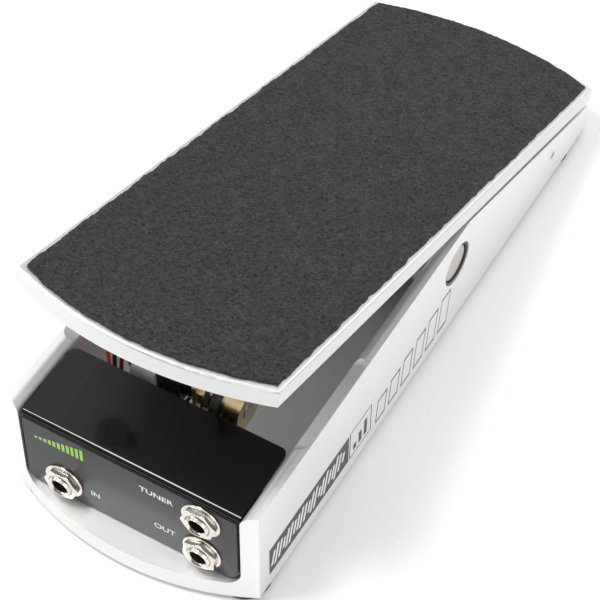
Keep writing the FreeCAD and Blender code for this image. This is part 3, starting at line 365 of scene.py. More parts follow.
def satin_metal(name, colour, roughness=0.42, streak=(1, 1, 1), streak_depth=0.01 * MM,
                metallic=0.85, handling=0.03):
    """Blasted or drawn metal: fine pits, faint streaks one way, cloudy sheen and handling marks."""
    recipe = Recipe(name)
    place = recipe.place()
    cloud = recipe.noise(place, 28.0, 4.0)
    pits = recipe.noise(place, 2600.0, 2.0, 0.6)
    lines = recipe.noise(recipe.place(streak), 900.0, 3.0, 0.6)
    marks = recipe.ramp(recipe.noise(recipe.place((1.0, 0.35, 1.0)), 160.0, 6.0, 0.7),
                        [(0.60, 0.0), (0.78, 1.0)])
    body = recipe.mix(cloud, shade(colour, 0.965), shade(colour, 1.03))
    body = recipe.mix(recipe.maths("MULTIPLY", marks, handling), body, shade(colour, 0.55))
    rough = recipe.maths("ADD", recipe.span(cloud, roughness - 0.05, roughness + 0.05),
                         recipe.span(lines, -0.06, 0.06))
    normal = recipe.bump(pits, 0.02 * MM, 0.35)
    normal = recipe.bump(lines, streak_depth, 0.5, normal)
    return recipe.finish(Base_Color=body, Metallic=metallic, Roughness=rough, Normal=normal)


def bright_metal(name, colour, roughness=0.14, rings=0.0, ring_axis="X"):
    """Plated or turned metal: thin tool rings, soft smudges and small pits."""
    recipe = Recipe(name)
    place = recipe.place()
    smudge = recipe.noise(place, 120.0, 5.0, 0.65)
    pits = recipe.noise(place, 1800.0, 3.0, 0.7)
    body = recipe.mix(smudge, shade(colour, 0.88), shade(colour, 1.05))
    rough = recipe.span(smudge, max(0.03, roughness - 0.06), roughness + 0.10)
    normal = recipe.bump(pits, 0.01 * MM, 0.3)
    if rings:
        tool = recipe.add("TexWave", {"wave_type": "BANDS", "bands_direction": ring_axis},
                          Vector=place, Scale=rings, Distortion=0.6, Detail=2.0)
        normal = recipe.bump(tool.outputs["Fac"], 0.02 * MM, 0.35, normal)
    return recipe.finish(Base_Color=body, Metallic=1.0, Roughness=rough, Normal=normal)


def gloss_enamel(name, colour):
    """Deep gloss paint: faint orange peel, dust specks and a few fine wipe marks."""
    recipe = Recipe(name)
    place = recipe.place()
    peel = recipe.noise(place, 380.0, 2.0, 0.5)
    dust = recipe.cells(place, 260.0)
    speck = recipe.ramp(dust.outputs["Distance"], [(0.0, 1.0), (0.085, 0.0)])
    rare = recipe.ramp(dust.outputs["Color"], [(0.86, 0.0), (0.90, 1.0)])
    grain = recipe.maths("MULTIPLY", speck, rare)
    wipe = recipe.ramp(recipe.noise(recipe.place((1.0, 9.0, 1.0), (0, 0, 0.7)), 90.0, 8.0, 0.75),
                       [(0.60, 0.0), (0.80, 1.0)])
    body = recipe.mix(recipe.maths("MULTIPLY", grain, 0.5), colour, (0.24, 0.24, 0.23))
    rough = recipe.maths("ADD", recipe.span(wipe, 0.055, 0.13), recipe.span(grain, 0.0, 0.5))
    normal = recipe.bump(peel, 0.02 * MM, 0.12)
    normal = recipe.bump(grain, 0.03 * MM, 0.5, normal)
    return recipe.finish(Base_Color=body, Roughness=rough, Normal=normal, IOR=1.45)


def moulded(name, colour, roughness=0.45, grain=900.0, depth=0.03 * MM, variation=0.25,
            clear=0.0):
    """Moulded plastic or rubber: fine even texture that also sets the roughness, and slight
    mottling.
    """
    recipe = Recipe(name)
    place = recipe.place()
    texture = recipe.noise(place, grain, 3.0, 0.6)
    mottle = recipe.noise(place, 60.0, 4.0)
    body = recipe.mix(mottle, shade(colour, 1 - variation), shade(colour, 1 + variation))
    rough = recipe.span(texture, roughness - 0.08, roughness + 0.10)
    return recipe.finish(Base_Color=body, Roughness=rough, Transmission_Weight=clear,
                         Normal=recipe.bump(texture, depth, 0.5))


def grit_stone(name, colour):
    """Crushed mineral on a black sheet: each grain has its own tone, tilt and gloss."""
    recipe = Recipe(name)
    place = recipe.place()
    grains = recipe.cells(place, 1250.0)
    fine = recipe.cells(place, 3100.0)
    own = recipe.add("SeparateColor", None, Color=grains.outputs["Color"])
    small = recipe.add("SeparateColor", None, Color=fine.outputs["Color"])
    tone = recipe.ramp(own.outputs[0], [(0.0, 0.10), (0.18, 0.20), (0.26, 0.95), (0.90, 1.10),
                                        (0.96, 1.5), (1.0, 2.2)])
    cloud = recipe.span(recipe.noise(place, 14.0, 3.0), 0.92, 1.09)
    body = recipe.mix(1.0, recipe.mix(1.0, colour, tone, "MULTIPLY"),
                      recipe.ramp(small.outputs[1], [(0.0, 0.75), (0.9, 1.1), (1.0, 2.4)]),
                      "MULTIPLY")
    body = recipe.mix(1.0, body, recipe.add("CombineColor", None, Red=cloud, Green=cloud,
                                            Blue=cloud).outputs[0], "MULTIPLY")
    rough = recipe.span(own.outputs[2], 0.55, 0.98)
    facets = recipe.maths("SUBTRACT", 1.0, grains.outputs["Distance"])
    normal = recipe.bump(facets, 0.35 * MM, 0.8)
    normal = recipe.bump(small.outputs[0], 0.12 * MM, 0.7, normal)
    return recipe.finish(Base_Color=body, Roughness=rough, Normal=normal)


def braided(name, colour, thickness):
    """Waxed braid: two crossing sets of strands round the cord, worked out along its UV map."""
    recipe = Recipe(name)
    pitch = TURN / (thickness * 1.6)
    crossing = []
    for lean in (0.8, -0.8):
        place = recipe.place((1.0, 1.0, 1.0), (0, 0, lean), uv=True)
        wave = recipe.add("TexWave", {"wave_type": "BANDS", "bands_direction": "X"},
                          Vector=place, Scale=pitch / 6, Distortion=0.3, Detail=1.0)
        crossing.append(wave.outputs["Fac"])
    strands = recipe.maths("MAXIMUM", crossing[0], crossing[1])
    fuzz = recipe.noise(recipe.place(), 3000.0, 3.0)
    # painted shade and highlight: the colour is darker in the grooves between strands and lighter
    # on the strand tops, following the bump's heights
    body = recipe.mix(strands, shade(colour, 0.5), shade(colour, 1.8))
    rough = recipe.span(fuzz, 0.42, 0.7)
    return recipe.finish(Base_Color=body, Roughness=rough,
                         Normal=recipe.bump(strands, 0.15 * MM, 0.7))


def printed(name, colour):
    """Screen-printed ink: near flat with faint mesh grain and thin spots."""
    recipe = Recipe(name)
    place = recipe.place()
    mesh = recipe.noise(place, 1500.0, 2.0)
    thin = recipe.ramp(recipe.noise(place, 420.0, 5.0, 0.7), [(0.62, 0.0), (0.85, 1.0)])
    body = recipe.mix(recipe.maths("MULTIPLY", thin, 0.35), colour,
                      tuple(channel * 0.5 + 0.2 for channel in colour))
    return recipe.finish(Base_Color=body, Roughness=recipe.span(mesh, 0.35, 0.5),
                         Normal=recipe.bump(mesh, 0.01 * MM, 0.3))


def overlay_film(name, colour):
    """Satin overlay film on the panel: fine grain, and a painted reflection that turns the black to
    grey towards the bottom and towards +X.
    """
    recipe = Recipe(name)
    place = recipe.place()
    grain = recipe.noise(place, 1400.0, 3.0, 0.6)
    smear = recipe.noise(recipe.place((1.0, 1.0, 0.3)), 45.0, 5.0, 0.6)
    body = recipe.mix(smear, shade(colour, 0.85), shade(colour, 1.15))
    # painted reflection: the film's colour goes from black at the top to a grey five times lighter
    # at the bottom, and a little lighter towards +X
    spread = recipe.add("SeparateXYZ", None, Vector=recipe.place()).outputs
    down = recipe.add("MapRange", None, Value=spread["Z"], From_Min=PANEL_REFLECTION_HEIGHTS[1],
                      From_Max=PANEL_REFLECTION_HEIGHTS[0]).outputs[0]
    across = recipe.add("MapRange", None, Value=spread["X"], From_Min=-WALL_X,
                        From_Max=WALL_X).outputs[0]
    painted_reflection = recipe.maths("MULTIPLY", recipe.maths("POWER", down, 0.8),
                        recipe.span(across, 0.75, 1.0))
    body = recipe.mix(painted_reflection, body, shade(colour, 5.0))
    return recipe.finish(Base_Color=body, Roughness=recipe.span(smear, 0.24, 0.34),
                         Normal=recipe.bump(grain, 0.01 * MM, 0.25), IOR=1.4)


def studio_paper(name):
    """Matt seamless paper under the pedal."""
    recipe = Recipe(name)
    fibre = recipe.noise(recipe.place(), 500.0, 4.0)
    body = recipe.mix(fibre, (0.86, 0.86, 0.86), (0.90, 0.90, 0.90))
    return recipe.finish(Base_Color=body, Roughness=0.9,
                         Normal=recipe.bump(fibre, 0.02 * MM, 0.2))


FINISHES = {}


def finish_named(key):
    """Make each finish once and hand it out by name."""
    if not FINISHES:
        colours = bpy.context.scene.pedal_colours
        metal = tuple(colours.metal)
        FINISHES.update({
            # painted light: the base and the treadle are one metal, but the base's copy is painted
            # 11% lighter and the treadle's 2% darker to stand in for how each is lit
            "base_metal": satin_metal("satin_base", shade(metal, 1.11), 0.46, (1.0, 0.05, 1.0)),
            "treadle_metal": satin_metal("satin_treadle", shade(metal, 0.98), 0.42,
                                         (0.06, 1.0, 1.0), 0.02 * MM),
            "lug_metal": satin_metal("machined_lug", (0.62, 0.63, 0.65), 0.34,
                                     (1.0, 0.08, 1.0), 0.03 * MM, 1.0),
            "grit": grit_stone("grip_grit", tuple(colours.grit)),
            "rubber": moulded("black_rubber", (0.020, 0.020, 0.021), 0.72, 700.0, 0.06 * MM),
            "bumper": moulded("milky_bumper", (0.55, 0.55, 0.53), 0.3, 400.0, 0.02 * MM,
                              0.05, 0.3),
            "enamel": gloss_enamel("gloss_cover", tuple(colours.cover)),
            "panel": overlay_film("panel_film", (0.006, 0.006, 0.0065)),
            "nickel": bright_metal("nickel_plate", (0.78, 0.74, 0.68), 0.15, 900.0, "Y"),
            "steel": bright_metal("turned_steel", (0.56, 0.55, 0.54), 0.30, 1500.0, "X"),
            "axle_steel": bright_metal("axle_steel", (0.62, 0.57, 0.54), 0.42, 700.0, "Z"),
            "black_steel": satin_metal("black_oxide", (0.05, 0.05, 0.055), 0.40,
                                       (1.0, 1.0, 0.1), 0.02 * MM, 0.9),
            "brass": bright_metal("turned_brass", (0.72, 0.58, 0.32), 0.27, 1300.0, "X"),
            "zinc": bright_metal("yellow_zinc", (0.74, 0.60, 0.30), 0.30),
            "tin": bright_metal("tinned_tab", (0.70, 0.70, 0.69), 0.35),
            "can": satin_metal("can_steel", (0.72, 0.74, 0.76), 0.42, (0.06, 1.0, 1.0),
                               metallic=0.5),
            "nylon_dark": moulded("dark_nylon", (0.030, 0.030, 0.032), 0.42),
            "nylon_white": moulded("white_nylon", (0.78, 0.76, 0.70), 0.38, 900.0,
                                   0.02 * MM, 0.05),
            "black_plastic": moulded("black_plastic", (0.014, 0.014, 0.015), 0.26),
            "cord": braided("waxed_braid", (0.020, 0.020, 0.020), 2 * CORD),
            "orange": moulded("orange_insulation", (0.70, 0.16, 0.025), 0.36, 500.0,
                              0.02 * MM, 0.08),
            "brown": moulded("brown_insulation", (0.050, 0.022, 0.014), 0.36, 500.0,
                             0.02 * MM, 0.15),
            "red": moulded("red_insulation", (0.20, 0.014, 0.016), 0.36, 500.0,
                           0.02 * MM, 0.08),
            "ink_black": printed("ink_black", (0.030, 0.030, 0.032)),
            "ink_white": printed("ink_white", (0.80, 0.80, 0.80)),
            "ink_mark": printed("ink_mark", tuple(colours.mark)),
            "paper": studio_paper("studio_paper"),
        })
    return FINISHES[key]


def settle(piece, finish, body, replaces=()):
    """Give a piece its finish and say what it rides on and stands for."""
    piece.data.materials.clear()
    piece.data.materials.append(finish_named(finish))
    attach(piece, body)
    if replaces:
        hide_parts(*replaces)
    return piece


# ---------------------------------------------------------------- finishes of the frame's nodes

NODE_FINISH = {
    "base_channel": "base_metal", "treadle_plate": "treadle_metal",
    "pivot_lug_left": "lug_metal", "pivot_lug_right": "lug_metal",
    "rubber_feet": "rubber", "heel_stops": "rubber", "toe_stops": "bumper",
    "foot_screws": "black_steel", "cover_screws": "black_steel",
    "axle_set_screws": "black_steel", "drum_set_screw": "black_steel",
    "lug_screws": "steel", "bracket_screws": "steel", "pivot_axle": "axle_steel",
    "guide_pin": "steel", "pin_collars": "steel", "pot_shaft": "steel",
    "cord_ferrules": "steel", "toe_cord_post": "steel", "heel_cord_post": "steel",
    "axle_bushing_left": "nylon_dark", "axle_bushing_right": "nylon_dark",
    "thrust_washers": "nylon_white", "guide_roller": "nylon_white",
    "electronics_cover": "enamel", "front_panel": "panel", "cord_drum": "brass",
    "pot_bracket": "zinc", "pot_nut": "zinc", "pot_body": "black_plastic",
    "pot_can": "can", "pot_terminals": "tin", "jack_terminals": "tin",
    "jack_housings": "black_plastic",
}


class PEDAL_OT_node_finishes(bpy.types.Operator):
    """Give every frame node that stays in view its detailed finish"""
    bl_idname = "pedal.node_finishes"
    bl_label = "Node finishes"

    def execute(self, context):
        for node, finish in NODE_FINISH.items():
            for place in frame["nodes"][node].material_slots:
                place.material = finish_named(finish)
        return {"FINISHED"}


# ---------------------------------------------------------------- grip sheet

GRIP_HALF = 48.6
GRIP_TOE = -143.1
GRIP_HEEL = 116.1
GRIP_BOW = 11.4
GRIP_LOW = 26.12
GRIP_THICK = 0.85


def bow_at(x, half, bow):
    """Height of a circular arc over its chord at x: root of radius squared less x squared."""
    radius = (half ** 2 + bow ** 2) / (2 * bow)
    return np.sqrt(radius ** 2 - x ** 2) - (radius - bow)


class PEDAL_OT_grip_sheet(bpy.types.Operator):
    """Build the gritty grip sheet with its ragged cut edge"""
    bl_idname = "pedal.grip_sheet"
    bl_label = "Grip sheet"

    def execute(self, context):
        """A grid over the sheet: x runs across, y runs from the toe arc to the heel arc.

        Heights are seeded random grains on the flat top.  The rim points wander by smoothed
        random amounts and drop to the plate, and one flat face closes the underside.
        """
        sizes = context.scene.pedal_sizes
        rng = np.random.default_rng(7)
        step = sizes.grain_size / MM
        columns = int(2 * GRIP_HALF / step)
        rows = int((GRIP_HEEL - GRIP_TOE + 2 * GRIP_BOW) / step)
        u = np.linspace(-1, 1, columns)[None, :]
        v = np.linspace(0, 1, rows)[:, None]
        x = u * GRIP_HALF + 0 * v
        bow = bow_at(x, GRIP_HALF, GRIP_BOW)
        y = (GRIP_TOE - bow) * (1 - v) + (GRIP_HEEL + bow) * v
        jitter = 0.32 * step
        x[1:-1, 1:-1] += rng.uniform(-jitter, jitter, (rows - 2, columns - 2))
        y[1:-1, 1:-1] += rng.uniform(-jitter, jitter, (rows - 2, columns - 2))
        ragged = sizes.ragged_edge / MM
        for rim in (np.s_[0, :], np.s_[-1, :], np.s_[:, 0], np.s_[:, -1]):
            count = x[rim].shape[0]
            wander = np.convolve(rng.normal(0, 1, count + 4), np.ones(5) / 5, "valid")
            x[rim] += ragged * wander * 0.8
            y[rim] += ragged * np.roll(wander, 3) * 0.8
        z = GRIP_LOW + GRIP_THICK + rng.normal(0, 1, x.shape).clip(-1.6, 2.2) \
            * (sizes.grain_height / MM) * 0.45
        rim_index = np.concatenate([
            np.arange(columns), np.arange(1, rows) * columns + columns - 1,
            (rows - 1) * columns + np.arange(columns - 2, -1, -1),
            np.arange(rows - 2, 0, -1) * columns])
        top = np.stack([x, y, z], axis=-1).reshape(-1, 3)
        shoulder = top[rim_index] - (0, 0, 0.25)
        top[rim_index, 2] -= 0.15
        foot = shoulder.copy()
        foot[:, 2] = GRIP_LOW + 0.01
        count = len(rim_index)
        ring = np.arange(count)
        after = (ring + 1) % count
        base = len(top)
        skirt = np.stack([rim_index[ring], base + ring, base + after, rim_index[after]], axis=-1)
        faces = grid_faces(rows, columns)[:, ::-1].tolist() + skirt.tolist()
        faces.append((base + ring[::-1]).tolist())
        points = swung(np.concatenate([top, foot]))
        piece = outward(make_piece("grip_surface", points, faces, smooth=False))
        settle(piece, "grit", "treadle", ("grip_sheet",))
        return {"FINISHED"}


# ---------------------------------------------------------------- jack sockets

SOCKETS = ("input_jack", "tuner_jack", "output_jack")


def socket_centre(node):
    """Axis of a socket in x and z, on the panel's face."""
    low, high = node_box(node)
    middle = (low + high) / 2
    return np.array([middle[0], PANEL_Y, middle[2]])


def hex_nut(centre, flats, bore, thickness, turn):
    """Chamfered hexagon nut along -Y.

    The outside radius at each turn is the hexagon's own, half the flats over the cosine of
    the angle from the nearest flat, but never more than a cone that cuts the corners at
    each face.
    """
    angle = np.linspace(0, TURN, 120, endpoint=False)[:, None]
    nearest = np.mod(angle + turn + math.pi / 6, math.pi / 3) - math.pi / 6
    hexagon = flats / 2 / np.cos(nearest)
    chamfer = np.linspace(0, 1, 6)
    corner = flats / 2 / math.cos(math.pi / 6)
    limit = flats / 2 * 0.955 + (corner * 1.01 - flats / 2 * 0.955) * chamfer
    depth = 0.5 * MM * chamfer
    radius = np.concatenate([[bore, bore + 0.25 * MM, flats / 2 * 0.90], limit, limit[::-1],
                             [flats / 2 * 0.90, bore + 0.25 * MM, bore]])
    along = np.concatenate([[0.25 * MM, 0, 0], depth, thickness - depth[::-1],
                            [thickness, thickness, thickness - 0.25 * MM]])
    reach = np.minimum(radius[None, :], np.where(radius[None, :] > flats / 2 * 0.93,
                                                 hexagon, radius[None, :]))
    points = np.stack([centre[0] + reach * np.sin(angle),
                       centre[1] - along[None, :] + 0 * angle,
                       centre[2] + reach * np.cos(angle)], axis=-1)
    return points, grid_faces(120, len(radius), True, True).tolist()


def threaded_sleeve(centre, pitch):
    """Socket sleeve turned about -Y: a saw-tooth thread outside, a countersunk plain bore."""
    outer, bore = 4.75 * MM, 3.2 * MM
    front, back = 4.0 * MM, -2.4 * MM
    flange, flange_back = 6.8 * MM, -4.4 * MM
    turns = int((front - 0.6 * MM - back) / pitch)
    root = np.arange(turns + 1) * pitch + back
    tooth = np.stack([root, root + pitch / 2], axis=-1).ravel()[:-1]
    depth = np.tile([0.0, 0.28 * MM], turns + 1)[:-1]
    outside = [(outer - d, a) for a, d in zip(tooth, depth)]
    profile = ([(bore, flange_back), (flange, flange_back), (flange, back)] + outside
               + [(outer - 0.35 * MM, front), (bore + 0.75 * MM, front),
                  (bore + 0.25 * MM, front - 0.35 * MM), (bore, front - 0.7 * MM)])
    flipped = [(radius, -along) for radius, along in profile]
    return turned(flipped, centre, "y", 96)


class PEDAL_OT_sockets(bpy.types.Operator):
    """Build the jack sockets' threaded sleeves, chamfered nuts and washers"""
    bl_idname = "pedal.sockets"
    bl_label = "Jack sockets"

    def execute(self, context):
        pitch = context.scene.pedal_sizes.thread_pitch
        nuts, washers = [], []
        for index, node in enumerate(SOCKETS):
            centre = socket_centre(node)
            sleeve = outward(joined(node + "_sleeve", [threaded_sleeve(centre, pitch)]))
            settle(sharpen(sleeve), "nickel", "base", (node,))
            thick = 0.8 * MM
            ring = [(4.9, 0.0), (7.45, 0.0), (7.72, -0.12), (7.8, -0.4), (7.7, -0.68),
                    (7.4, -0.8), (5.2, -0.8), (4.9, -0.62)]
            washers.append(turned([(r * MM, a * MM) for r, a in ring], centre, "y", 96))
            nuts.append(hex_nut(centre - (0, thick, 0), 12.7 * MM, 4.78 * MM, 2.2 * MM,
                                math.radians((4, 11, 25)[index])))
        settle(sharpen(outward(joined("socket_nuts", nuts)), 25), "nickel", "base",
               ("jack_nuts",))
        settle(sharpen(outward(joined("socket_washers", washers))), "nickel", "base",
               ("jack_washers",))
        return {"FINISHED"}


# ---------------------------------------------------------------- printed marks

def lettering(name, words, low, high, thickness):
    """Plain capitals fitted to a box on the panel: x from low to high, z from low to high."""
    text = bpy.data.curves.new(name, "FONT")
    text.body = words
    text.offset = 0.012
    text.extrude = thickness / 2
    holder = bpy.data.objects.new(name, text)
    bpy.context.scene.collection.objects.link(holder)
    bpy.context.view_layer.update()
    mesh = bpy.data.meshes.new_from_object(holder)
    bpy.data.objects.remove(holder)
    points = np.empty(len(mesh.vertices) * 3, np.float32)
    mesh.vertices.foreach_get("co", points)
    points = points.reshape(-1, 3).astype(float)
    least, most = points.min(axis=0), points.max(axis=0)
    share = (points - least) / (most - least)
    placed = np.stack([low[0] + share[:, 0] * (high[0] - low[0]),
                       PANEL_Y - share[:, 2] * thickness,
                       low[1] + share[:, 1] * (high[1] - low[1])], axis=-1)
    mesh.vertices.foreach_set("co", placed.ravel())
    mesh.name = name
    mesh.update()
    piece = bpy.data.objects.new(name, mesh)
    bpy.context.scene.collection.objects.link(piece)
    return outward(piece)


PANEL_WORDS = {
    # word: x from, x to, z of the middle, height of the capitals
    "IN": (-16.7, -13.1, 18.5, 2.8),
    "TUNER": (4.5, 18.3, 37.8, 2.8),
    "OUT": (9.7, 18.4, 19.0, 2.8),
}
WEDGE_BARS = 11


class PEDAL_OT_panel_print(bpy.types.Operator):
    """Print the panel's plain words and its rising-level mark"""
    bl_idname = "pedal.panel_print"
    bl_label = "Panel print"

    def execute(self, context):
        """The mark is a row of upright bars whose heights grow evenly from left to right."""
        thickness = context.scene.pedal_sizes.ink_thickness
        for word, (left, right, middle, tall) in PANEL_WORDS.items():
            low = (left * MM, TOE[2] + (middle - tall / 2) * MM)
            high = (right * MM, TOE[2] + (middle + tall / 2) * MM)
            piece = lettering("panel_word_" + word.lower(), word, low, high, thickness)
            settle(piece, "ink_white", "base")
        bar = np.arange(WEDGE_BARS)
        left = -39.0 + bar * 1.92
        right = left + 1.15
        base = np.full(WEDGE_BARS, 36.4)
        top = 37.4 + bar * 0.52
        corners = np.stack([np.stack([left, base], -1), np.stack([right, base], -1),
                            np.stack([right, top], -1), np.stack([left, top], -1)], axis=1)
        points, faces = prisms(corners * MM, 0, thickness)
        placed = np.stack([points[:, 0], PANEL_Y - points[:, 2], TOE[2] + points[:, 1]], -1)
        mark = outward(make_piece("panel_level_mark", placed, faces, smooth=False))
        settle(mark, "ink_mark", "base")
        return {"FINISHED"}


def slanted(left, low, width, tall, slant):
    """Four corners of a leaning bar, in millimetres along the wall and up it."""
    return [(left, low), (left + width, low), (left + width + slant * tall, low + tall),
            (left + slant * tall, low + tall)]


def outline_strips(corners, width):
    """Strips of one width along each side of a four-sided outline, kept inside it."""
    corners = np.asarray(corners, float)
    middle = corners.mean(axis=0)
    after = np.roll(corners, -1, axis=0)
    inner = corners + (middle - corners) / np.linalg.norm(middle - corners, axis=1,
                                                          keepdims=True) * width * 1.4
    return np.stack([corners, after, np.roll(inner, -1, axis=0), inner], axis=1)


class PEDAL_OT_side_print(bpy.types.Operator):
    """Print the side wall's plain band, level square and rising bars"""
    bl_idname = "pedal.side_print"
    bl_label = "Side print"

    def execute(self, context):
        """Flat strips on the wall: a dark band with a light trace, a level square, rising bars."""
        thickness = context.scene.pedal_sizes.ink_thickness
        band = [[(6.7, 6.0), (62.5, 6.0), (62.5, 21.5), (6.7, 21.5)]]
        beat = np.arange(21)
        height = 2.2 + 4.6 * np.abs(np.sin(beat * 0.93 + 0.4)) + 1.6 * np.abs(np.cos(beat * 2.1))
        trace = [slanted(9.2 + 2.45 * index - 0.25 * tall, 13.75 - tall / 2 * 1.35, 1.3,
                         tall * 1.35, 0.25) for index, tall in zip(beat, height)]
        level = np.concatenate([
            outline_strips([(63.2, 6.2), (79.2, 6.2), (79.2, 21.9), (63.2, 21.9)], 0.55),
            np.array([slanted(66.0 + 3.9 * tick, 8.6, 2.2, 3.4 + 2.9 * tick, 0.0)
                      for tick in range(3)])])
        tall = 12.5 + 1.15 * np.arange(6)
        bars = np.concatenate([outline_strips(slanted(82.6 + 9.7 * index, 5.2, 7.2, rise, 0.12),
                                              0.8)
                               for index, rise in enumerate(tall)])
        dark = np.concatenate([np.array(band), level, bars])
        for name, quads, low, high, finish in (
                ("side_print_dark", dark, 0.0, thickness, "ink_black"),
                ("side_print_light", np.array(trace), thickness * 0.5, thickness * 2,
                 "ink_white")):
            points, faces = prisms(quads * MM, low, high)
            placed = np.stack([WALL_X + points[:, 2], TOE[1] + points[:, 0],
                               TOE[2] + points[:, 1]], -1)
            piece = outward(make_piece(name, placed, faces, smooth=False))
            settle(piece, finish, "base")
        return {"FINISHED"}


# ---------------------------------------------------------------- cords, spring and wires

def straight(first, last, count):
    """Points shared out evenly from one place to another."""
    part = np.linspace(0, 1, count)[:, None]
    return np.asarray(first) * (1 - part) + np.asarray(last) * part


def end_places(node):
    """The two ends of a straight tube node, at the middle of each end's face.

    The points are measured along their main direction, each end is the mean of the points within
    two percent of the length from it, and the ends are sorted by y.
    """
    mesh = frame["nodes"][node].data
    points = np.empty(len(mesh.vertices) * 3, np.float32)
    mesh.vertices.foreach_get("co", points)
    points = points.reshape(-1, 3).astype(float)
    middle = points.mean(axis=0)
    _, _, axes = np.linalg.svd(points - middle, full_matrices=False)
    along = (points - middle) @ axes[0]
    reach = along.max() - along.min()
    ends = [points[along < along.min() + reach * 0.02].mean(axis=0),
            points[along > along.max() - reach * 0.02].mean(axis=0)]
    return sorted(ends, key=lambda end: end[1])


class PEDAL_OT_drive_cord(bpy.types.Operator):
    """Build the braided drive cord: toe run, drum turns, floor runs and heel run"""
    bl_idname = "pedal.drive_cord"
    bl_label = "Drive cord"

    def execute(self, context):
        """Straight runs, a helix on the drum and an arc under the guide, as one round braid.

        The helix is the drum's centre plus the cord's reach times cosine and sine of the
        turn, moving across by one pitch a turn.
        """
        low, high = node_box("cord_wraps")
        reach = (high[2] - low[2]) / 2 - CORD
        turns = 2.2
        part = np.linspace(0, 1, 240)
        angle = math.pi - part * turns * TURN
        helix = np.stack([low[0] + CORD + part * (high[0] - low[0] - 2 * CORD),
                          DRUM[1] + reach * np.cos(angle), DRUM[2] - reach * np.sin(-angle)],
                         axis=-1)
        points, faces, uv = carried(helix, CORD, 14)
        wraps = outward(make_piece("cord_on_drum", points, faces, uv=uv))
        settle(wraps, "cord", "drum", ("cord_wraps",))

        toe_low, toe_high = end_places("cord_toe_run")
        points, faces, uv = carried(straight(toe_low, toe_high, 48), CORD, 14)
        toe_run = outward(make_piece("cord_toe_braid", points, faces, uv=uv))
        toe_run.data.materials.append(finish_named("cord"))
        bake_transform(toe_run)
        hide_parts("cord_toe_run")

        near, far = end_places("cord_front_run")
        points, faces, uv = carried(straight(near, far, 60), CORD, 14)
        front = outward(make_piece("cord_front_braid", points, faces, uv=uv))
        front.data.materials.append(finish_named("cord"))
        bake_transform(front)
        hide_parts("cord_front_run")
        self.heel_run(near, far)
        return {"FINISHED"}

    def heel_run(self, near, far):
        """From the ferrule along the same line, round under the guide and up to the post."""
        slope = (far - near) / np.linalg.norm(far - near)
        low, high = node_box("cord_rear_run")
        guide = np.array([near[0], GUIDE[1], GUIDE[2]])
        reach = 4.25 * MM
        down = math.atan2(slope[2], slope[1]) - math.pi / 2
        arrive = guide + reach * np.array([0, math.cos(down), math.sin(down)])
        start = arrive - slope * ((arrive[1] - low[1]) / slope[1])
        post = np.array([near[0], node_box("heel_cord_post")[0][1] + 2.2 * MM,
                         high[2] - 0.2 * MM])
        leave_angle = math.radians(6)
        angle = np.linspace(down, leave_angle, 30)
        arc = guide + reach * np.stack([0 * angle, np.cos(angle), np.sin(angle)], axis=-1)
        floor_path = np.concatenate([straight(start, arrive, 30)[:-1], arc[:15]])
        rise_path = np.concatenate([arc[14:], straight(arc[-1], post, 12)[1:]])
        for name, path, bodies in (("cord_heel_floor", floor_path, ("cord_shuttle", "base")),
                                   ("cord_heel_rise", rise_path, ("base", "treadle"))):
            points, faces, uv = carried(path, CORD, 14)
            run = outward(make_piece(name, points, faces, uv=uv))
            run.data.materials.append(finish_named("cord"))
            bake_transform(run)
            if bodies[1] == "base":
                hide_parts("cord_rear_run")


class PEDAL_OT_tension_spring(bpy.types.Operator):
    """Wind the tension spring that keeps the cord tight"""
    bl_idname = "pedal.tension_spring"
    bl_label = "Tension spring"

    def execute(self, context):
        """A helix of round wire about the cord's line: the line's point plus the coil radius
        times cosine and sine of the turn along two directions square to it."""
        first, last = end_places("tension_spring")
        wire = 0.4 * MM
        radius = 2.6 * MM - wire
        along = (last - first) / np.linalg.norm(last - first)
        across = np.array([1.0, 0, 0])
        up = np.cross(across, along)
        turns = context.scene.pedal_sizes.spring_turns
        part = np.linspace(0, 1, turns * 20)
        angle = part * turns * TURN
        line = first + (last - first) * (0.02 + 0.96 * part[:, None])
        path = line + radius * (np.cos(angle)[:, None] * across + np.sin(angle)[:, None] * up)
        points, faces, uv = carried_helix(path, wire, 8)
        piece = outward(make_piece("spring_coil", points, faces, uv=uv))
        settle(piece, "steel", "cord_shuttle", ("tension_spring",))
        return {"FINISHED"}


def carried_helix(path, radius, sides):
    """Carry a circle along a tight curve, using the curve's own tangent and its change."""
    tangent = np.gradient(path, axis=0)
    tangent /= np.linalg.norm(tangent, axis=1, keepdims=True)
    change = np.gradient(tangent, axis=0)
    change /= np.linalg.norm(change, axis=1, keepdims=True)
    first = change - tangent * np.sum(change * tangent, axis=1, keepdims=True)
    first /= np.linalg.norm(first, axis=1, keepdims=True)
    second = np.cross(tangent, first)
    angle = np.linspace(0, TURN, sides, endpoint=False)
    ring = (np.cos(angle)[None, :, None] * first[:, None, :]
            + np.sin(angle)[None, :, None] * second[:, None, :])
    points = (path[:, None, :] + radius * ring).reshape(-1, 3)
    faces = grid_faces(len(path), sides, False, True).tolist()
    faces += [list(range(sides)), list(range((len(path) - 1) * sides, len(path) * sides))]
    uv = np.stack([np.repeat(np.linspace(0, 1, len(path)), sides),
                   np.tile(angle / TURN, len(path))], axis=-1)
    return points, faces, uv


